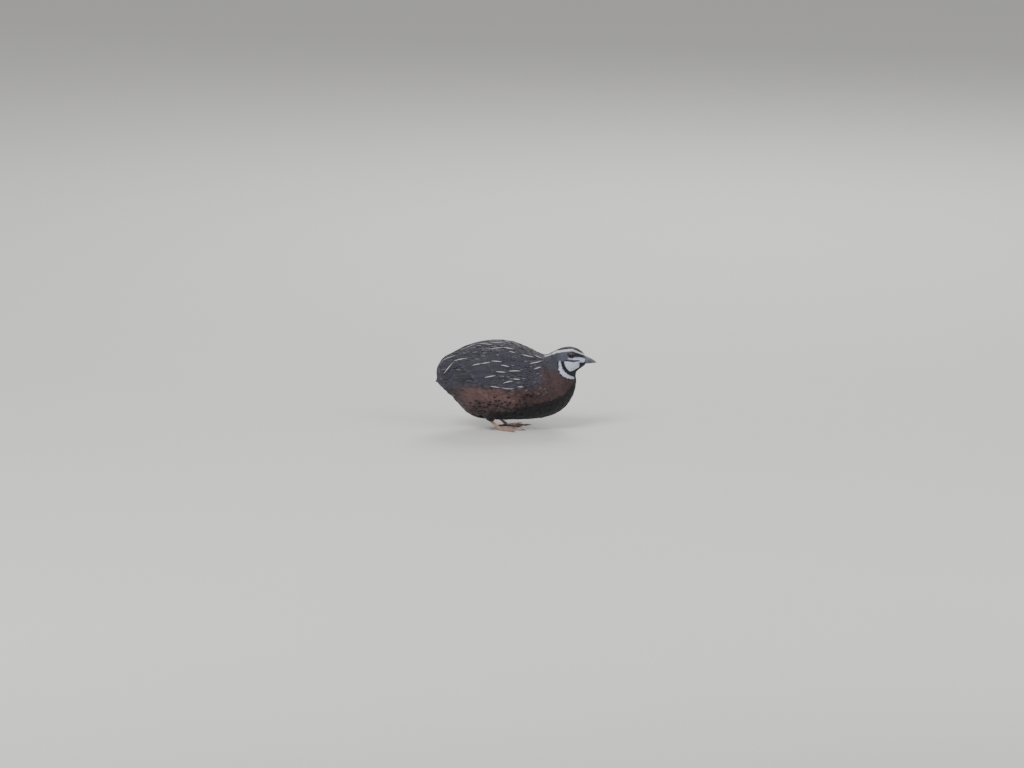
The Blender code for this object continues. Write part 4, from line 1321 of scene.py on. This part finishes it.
def makeBarbGroup():
    # fine barbs slanting from the shaft, with a height, a painted shade that darkens the grooves
    # between them as the height falls, and gaps
    group, given, put = newGroup("featherBarbs", (
        ("Size", "NodeSocketVector"), ("Pitch", "NodeSocketFloat")), (
        ("Height", "NodeSocketFloat"), ("Shade", "NodeSocketFloat"), ("Gaps", "NodeSocketFloat")))
    parts = addNode(group, "ShaderNodeSeparateXYZ")
    link(group, given.outputs["Size"], parts.inputs[0])
    across = maths(group, "ABSOLUTE", parts.outputs["X"])
    drawn = addNode(group, "ShaderNodeTexNoise", noise_dimensions="3D")
    link(group, given.outputs["Size"], drawn.inputs["Vector"])
    drawn.inputs["Scale"].default_value = 0.9
    slant = maths(group, "SUBTRACT", parts.outputs["Y"], maths(group, "MULTIPLY", across, 1.15))
    slant = maths(group, "ADD", slant, maths(group, "MULTIPLY", drawn.outputs["Fac"], 0.8))
    turns = maths(group, "DIVIDE", slant, given.outputs["Pitch"])
    wave = maths(group, "SINE", maths(group, "MULTIPLY", turns, 2 * math.pi))
    coarse = maths(group, "SINE", maths(group, "MULTIPLY", turns, 2 * math.pi * 0.23))
    both = maths(group, "ADD", maths(group, "MULTIPLY", wave, 0.34),
                 maths(group, "MULTIPLY", coarse, 0.16))
    height = maths(group, "ADD", both, 0.5)
    link(group, height, put.inputs["Height"])
    link(group, height, put.inputs["Shade"])
    gaps = ramp(group, maths(group, "SINE", maths(group, "MULTIPLY", turns, 2 * math.pi * 0.61)),
                0.35, 0.95)
    link(group, gaps, put.inputs["Gaps"])
    return group


def makeMarkGroup():
    # the central mark on a vane, from its place across and along and the mark's width; also its pale
    # rim, and a painted shade that darkens the vane towards its hidden root
    group, given, put = newGroup("featherMark", (("Share", "NodeSocketVector"),), (
        ("Mask", "NodeSocketFloat"), ("Edge", "NodeSocketFloat"), ("RootShadeFade", "NodeSocketFloat")))
    parts = addNode(group, "ShaderNodeSeparateXYZ")
    link(group, given.outputs["Share"], parts.inputs[0])
    across = maths(group, "ABSOLUTE", parts.outputs["X"])
    taper = maths(group, "SUBTRACT", 1.0, maths(group, "MULTIPLY", parts.outputs["Y"], 0.4))
    swell = maths(group, "MULTIPLY", ramp(group, parts.outputs["Y"], 0.56, 0.82),
                  ramp(group, parts.outputs["Y"], 1.0, 0.86))  # a drop near the tip
    drop = maths(group, "LESS_THAN", parts.outputs["Z"], 0.0)
    taper = maths(group, "ADD", maths(group, "MULTIPLY", swell, drop),
                  maths(group, "MULTIPLY", taper, maths(group, "SUBTRACT", 1.0, drop)))
    limit = maths(group, "MULTIPLY", maths(group, "ABSOLUTE", parts.outputs["Z"]), taper)
    spread = maths(group, "ADD", maths(group, "MULTIPLY", limit, 0.5), 0.03)
    mask = ramp(group, across, maths(group, "ADD", limit, spread),
                maths(group, "SUBTRACT", limit, spread))
    mask = maths(group, "MULTIPLY", mask, ramp(group, parts.outputs["Y"], 0.98, 0.9))
    link(group, mask, put.inputs["Mask"])
    rim = maths(group, "MAXIMUM", ramp(group, across, 0.62, 1.0),
                ramp(group, parts.outputs["Y"], 0.86, 1.0))
    link(group, rim, put.inputs["Edge"])
    # painted shade towards the root: 0 at the root, rising to 1 between 0.05 and 0.6 of the way out
    link(group, ramp(group, parts.outputs["Y"], 0.05, 0.6), put.inputs["RootShadeFade"])
    return group


def makeBarGroup():
    # dark wavy crossbars and fine speckle over a vane
    group, given, put = newGroup("featherBars", (
        ("Size", "NodeSocketVector"), ("Place", "NodeSocketVector")), (
        ("Mask", "NodeSocketFloat"),))
    parts = addNode(group, "ShaderNodeSeparateXYZ")
    link(group, given.outputs["Size"], parts.inputs[0])
    across = maths(group, "ABSOLUTE", parts.outputs["X"])
    wobble = noise(group, given.outputs["Place"], 420.0, 2.0)
    run = maths(group, "ADD", parts.outputs["Y"], maths(group, "MULTIPLY", across, 0.35))
    run = maths(group, "ADD", run, maths(group, "MULTIPLY", wobble, 1.6))
    run = maths(group, "ADD", run, maths(group, "MULTIPLY", parts.outputs["Z"], 3.0))
    wave = maths(group, "SINE", maths(group, "MULTIPLY", run, 2 * math.pi / 2.3))
    bar = ramp(group, wave, 0.1, 0.75)
    speck = ramp(group, noise(group, given.outputs["Place"], 1500.0, 2.0), 0.42, 0.66)
    mask = maths(group, "MAXIMUM", maths(group, "MULTIPLY", bar, 0.8),
                 maths(group, "MULTIPLY", speck, 0.5))
    link(group, mask, put.inputs["Mask"])
    return group


def placed(tree, group):
    made = addNode(tree, "ShaderNodeGroup")
    made.node_tree = group
    return made


def newMaterial(name, base, rough):
    made = bpy.data.materials.new(name)
    made.use_nodes = True
    shader = made.node_tree.nodes["Principled BSDF"]
    shader.inputs["Base Color"].default_value = (*base, 1)
    shader.inputs["Roughness"].default_value = rough
    return made, made.node_tree, shader


def makeFeatherMaterial(name, barbs, markGroup, barGroup, pitch, bump, sheen):
    made, tree, shader = newMaterial(name, colour("back"), 0.75)
    looks = {key: addNode(tree, "ShaderNodeAttribute", attribute_name=key)
             for key in ("vaneShare", "vaneSize", "tint", "mark")}
    place = addNode(tree, "ShaderNodeTexCoord")
    fine = placed(tree, barbs)
    link(tree, looks["vaneSize"].outputs["Vector"], fine.inputs["Size"])
    fine.inputs["Pitch"].default_value = pitch
    marked = placed(tree, markGroup)
    link(tree, looks["vaneShare"].outputs["Vector"], marked.inputs["Share"])
    barred = placed(tree, barGroup)
    link(tree, looks["vaneSize"].outputs["Vector"], barred.inputs["Size"])
    link(tree, place.outputs["Object"], barred.inputs["Place"])
    tone = looks["tint"].outputs["Color"]
    dark = maths(tree, "MULTIPLY", barred.outputs["Mask"], looks["tint"].outputs["Alpha"])
    tone = blendColour(tree, "MULTIPLY", maths(tree, "MULTIPLY", dark, 0.75), tone,
                       (0.3, 0.28, 0.3))
    rim = maths(tree, "MULTIPLY", marked.outputs["Edge"], looks["mark"].outputs["Alpha"])
    pale = blendColour(tree, "ADD", 1.0, tone, (0.045, 0.043, 0.047))
    tone = blendColour(tree, "MIX", maths(tree, "MULTIPLY", rim, 0.7), tone, pale)
    tone = blendColour(tree, "MIX", marked.outputs["Mask"], tone, looks["mark"].outputs["Color"])
    grain = noise(tree, place.outputs["Object"], 90.0, 2.0)
    # painted shade between the barbs, from their height; the grain below is tone that varies at random
    shade = scaled(tree, fine.outputs["Shade"], 0.24, 0.88)
    shade = maths(tree, "MULTIPLY", shade, scaled(tree, grain, 0.5, 0.75))
    # painted shade: each vane darkens to half its brightness towards its root
    shade = maths(tree, "MULTIPLY", shade, scaled(tree, marked.outputs["RootShadeFade"], 0.5, 0.5))
    # painted shade in the splits between barbs near the vane's edge and tip
    splitShade = maths(tree, "MULTIPLY", marked.outputs["Edge"], fine.outputs["Gaps"])
    shade = maths(tree, "MULTIPLY", shade, maths(tree, "SUBTRACT", 1.0,
                                                 maths(tree, "MULTIPLY", splitShade, 0.6)))
    tone = blendColour(tree, "MULTIPLY", 1.0, tone, greyOf(tree, shade))
    link(tree, tone, shader.inputs["Base Color"])
    link(tree, scaled(tree, fine.outputs["Shade"], 0.18, 0.6), shader.inputs["Roughness"])
    addBump(tree, shader, fine.outputs["Height"], bump, 0.00012)
    shader.inputs["Specular IOR Level"].default_value = 0.28
    shader.inputs["Sheen Weight"].default_value = sheen
    shader.inputs["Sheen Roughness"].default_value = 0.45
    return made


def makeSkinMaterial(name):
    made, tree, shader = newMaterial(name, colour("back"), 0.8)
    tint = addNode(tree, "ShaderNodeAttribute", attribute_name="tint")
    place = addNode(tree, "ShaderNodeTexCoord")
    grain = noise(tree, place.outputs["Object"], 900.0, 4.0)
    shade = greyOf(tree, scaled(tree, grain, 0.7, 0.3))
    tone = blendColour(tree, "MULTIPLY", 1.0, tint.outputs["Color"], shade)
    link(tree, tone, shader.inputs["Base Color"])
    addBump(tree, shader, grain, 0.6, 0.0002)
    return made


def makeHornMaterial(name, base, tipTone, rough):
    # bill and claws: faint growth lines and a worn, lighter surface
    made, tree, shader = newMaterial(name, base, rough)
    place = addNode(tree, "ShaderNodeTexCoord")
    parts = addNode(tree, "ShaderNodeSeparateXYZ")
    link(tree, place.outputs["Object"], parts.inputs[0])
    stretch = addNode(tree, "ShaderNodeMapping")
    stretch.inputs["Scale"].default_value = (1.0, 3.0, 3.0)
    link(tree, place.outputs["Object"], stretch.inputs["Vector"])
    lines = noise(tree, stretch.outputs[0], 700.0, 4.0)
    patch = noise(tree, place.outputs["Object"], 260.0, 3.0)
    tone = blendColour(tree, "MIX", ramp(tree, patch, 0.35, 0.7), base, tipTone)
    dim = scaled(tree, lines, 0.5, 0.72)
    outer = ramp(tree, parts.outputs["X"], 0.067, 0.076)  # the bill darkens to its tip
    dim = maths(tree, "MULTIPLY", dim, maths(tree, "SUBTRACT", 1.0,
                                             maths(tree, "MULTIPLY", outer, 0.35)))
    link(tree, blendColour(tree, "MULTIPLY", 1.0, tone, greyOf(tree, dim)),
         shader.inputs["Base Color"])
    link(tree, scaled(tree, lines, 0.25, rough - 0.1), shader.inputs["Roughness"])
    addBump(tree, shader, lines, 0.25, 0.0001)
    return made


def makeScaleMaterial(name, light, dark, creaseShade, scale):
    # legs and lids: small scales, with painted shade darkening the creases between them
    made, tree, shader = newMaterial(name, linear(light), 0.5)
    place = addNode(tree, "ShaderNodeTexCoord")
    cells = addNode(tree, "ShaderNodeTexVoronoi", feature="DISTANCE_TO_EDGE")
    cells.inputs["Scale"].default_value = scale
    link(tree, place.outputs["Object"], cells.inputs["Vector"])
    crease = ramp(tree, cells.outputs["Distance"], 0.0, 0.16)
    patch = noise(tree, place.outputs["Object"], 300.0, 3.0)
    tone = blendColour(tree, "MIX", ramp(tree, patch, 0.35, 0.7), linear(light), linear(dark))
    # painted shade: the creases between the scales take the crease colour
    tone = blendColour(tree, "MIX", crease, linear(creaseShade), tone)
    link(tree, tone, shader.inputs["Base Color"])
    addBump(tree, shader, crease, 0.4, 0.0001)
    return made


iris = {"inner": (74, 42, 26), "outer": (40, 25, 19), "pupil": (0.58, 0.5), "rim": (0.96, 1.08)}


def makeEyeMaterial():
    # dark brown iris round a black pupil, under a wet clear coat
    made, tree, shader = newMaterial("eye_wet", (0.01, 0.006, 0.005), 0.45)
    reach = addNode(tree, "ShaderNodeAttribute", attribute_name="iris")
    place = addNode(tree, "ShaderNodeTexCoord")
    rays = noise(tree, place.outputs["Object"], 2600.0, 2.0)
    share = reach.outputs["Fac"]
    tone = blendColour(tree, "MIX", ramp(tree, share, 0.45, 0.95), linear(iris["inner"]),
                       linear(iris["outer"]))
    tone = blendColour(tree, "MULTIPLY", ramp(tree, rays, 0.35, 0.65), tone, (0.55, 0.5, 0.5))
    tone = blendColour(tree, "MIX", ramp(tree, share, *iris["pupil"]), tone, (0.002, 0.002, 0.002))
    tone = blendColour(tree, "MIX", ramp(tree, share, *iris["rim"]), tone, (0.01, 0.008, 0.008))
    link(tree, tone, shader.inputs["Base Color"])
    shader.inputs["Coat Weight"].default_value = 0.8
    shader.inputs["Coat Roughness"].default_value = 0.02
    shader.inputs["Coat IOR"].default_value = 1.38
    shader.inputs["Specular IOR Level"].default_value = 0.1
    return made


# Pieces

barbGroup, markGroup, barGroup = makeBarbGroup(), makeMarkGroup(), makeBarGroup()
bodyFeather = makeFeatherMaterial("body_feather", barbGroup, markGroup, barGroup, 0.3, 0.3, 0.12)
faceFeather = makeFeatherMaterial("face_feather", barbGroup, markGroup, barGroup, 0.22, 0.2, 0.12)
scaledSkin = makeScaleMaterial("scaled_skin", (168, 138, 122), (136, 108, 96), (146, 118, 105), 2600.0)
lidSkin = makeScaleMaterial("lid_skin", (66, 63, 68), (50, 48, 53), (40, 38, 42), 6500.0)
horn = makeHornMaterial("bill_horn", linear((70, 72, 80)), linear((98, 100, 108)), 0.4)
clawHorn = makeHornMaterial("claw_horn", linear((72, 62, 58)), linear((110, 96, 88)), 0.38)

growPaleFeathers()
print("pale shaft lines laid")
growCoat()
print("body feathers laid")
for wingSide, wingWord in ((1, "left"), (-1, "right")):
    makeWing(wingSide, wingWord)
makeTail()
slots = {"face_left_feathers": "face", "face_right_feathers": "face", "crown_feathers": "face",
         "neck_left_feathers": "breast", "neck_right_feathers": "breast",
         "breast_feathers": "breast", "belly_feathers": "flank", "flank_feathers": "flank",
         "rump_feathers": "tail", "tail_feathers": "tail", "back_feathers": "back",
         "wing_left_feathers": "wing", "wing_right_feathers": "wing"}
for pieceName in sorted(coat):
    stuff = faceFeather if slots[pieceName] == "face" else bodyFeather
    makeCoatPiece(pieceName, stuff)
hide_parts("wing_left")
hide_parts("wing_right")
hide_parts("tail")


def makeSkin():
    tone, _, _ = plumage(np.array([v.co[:] for v in skinShape.verts]))
    mesh = bpy.data.meshes.new("skin")
    bmesh.ops.scale(skinShape, vec=(mm, mm, mm), verts=skinShape.verts)
    skinShape.to_mesh(mesh)
    layer = mesh.attributes.new("tint", "FLOAT_COLOR", "POINT")
    # painted shade: the skin takes the plumage's colours at 0.6 of their brightness, for where it
    # shows between the feathers
    layer.data.foreach_set("color", np.concatenate(
        [tone * 0.6, np.ones((len(tone), 1))], 1).astype(np.float32).ravel())
    obj = addPiece("skin", mesh, makeSkinMaterial("under_skin"))
    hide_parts(*skin["nodes"])


makeSkin()
makeEyes(makeEyeMaterial(), lidSkin)
makeBillHalf(True, horn)
makeBillHalf(False, horn)
makeLegs(scaledSkin, clawHorn)
print("eyes, bill and legs made")

# Floor, lights and camera

studio = {
    "floor": (0.62, 0.61, 0.6), "world": 0.55, "frameWidth": 0.9626, "distance": 9.0,
    "aim": (-0.0038, 0.0, 0.042), "tilt": math.radians(10), "sensor": 36.0,
}


def makeFloor():
    bm = bmesh.new()
    bmesh.ops.create_grid(bm, x_segments=1, y_segments=1, size=14)
    mesh = bpy.data.meshes.new("floor")
    bm.to_mesh(mesh)
    bm.free()
    stuff, tree, shader = newMaterial("floor_paper", studio["floor"], 0.9)
    place = addNode(tree, "ShaderNodeTexCoord")
    grain = noise(tree, place.outputs["Object"], 6.0, 3.0)
    link(tree, blendColour(tree, "MIX", maths(tree, "MULTIPLY", grain, 0.25), studio["floor"],
                           tuple(c * 0.9 for c in studio["floor"])), shader.inputs["Base Color"])
    mesh.materials.append(stuff)
    floor = bpy.data.objects.new("floor", mesh)
    bpy.context.scene.collection.objects.link(floor)


def makeLight(name, place, aim, size, power, tone=(1, 1, 1)):
    data = bpy.data.lights.new(name, "AREA")
    data.shape = "DISK"
    data.size = size
    data.energy = power
    data.color = tone
    light = bpy.data.objects.new(name, data)
    light.location = place
    light.rotation_euler = (Vector(aim) - Vector(place)).to_track_quat("-Z", "Y").to_euler()
    bpy.context.scene.collection.objects.link(light)


def makeCamera():
    data = bpy.data.cameras.new("camera")
    data.sensor_width = studio["sensor"]
    data.lens = studio["sensor"] * studio["distance"] / studio["frameWidth"]
    data.clip_end = 60
    camera = bpy.data.objects.new("camera", data)
    aim = Vector(studio["aim"])
    back = Vector((0, -math.cos(studio["tilt"]), math.sin(studio["tilt"])))
    camera.location = aim + back * studio["distance"]
    camera.rotation_euler = (-back).to_track_quat("-Z", "Y").to_euler()
    bpy.context.scene.collection.objects.link(camera)
    bpy.context.scene.camera = camera


def makeWorld():
    world = bpy.data.worlds.new("studio")
    world.use_nodes = True
    sky = world.node_tree.nodes["Background"]
    sky.inputs["Color"].default_value = (1, 1, 1, 1)
    sky.inputs["Strength"].default_value = studio["world"]
    bpy.context.scene.world = world


makeFloor()
makeWorld()
makeLight("key", (-0.9, -1.3, 1.7), (0, 0, 0.04), 1.2, 38)
makeLight("fill", (1.4, -1.0, 0.9), (0, 0, 0.04), 1.4, 14)
makeLight("rim", (0.3, 1.5, 1.3), (0, 0, 0.05), 1.0, 22)
makeCamera()
print("stage set")
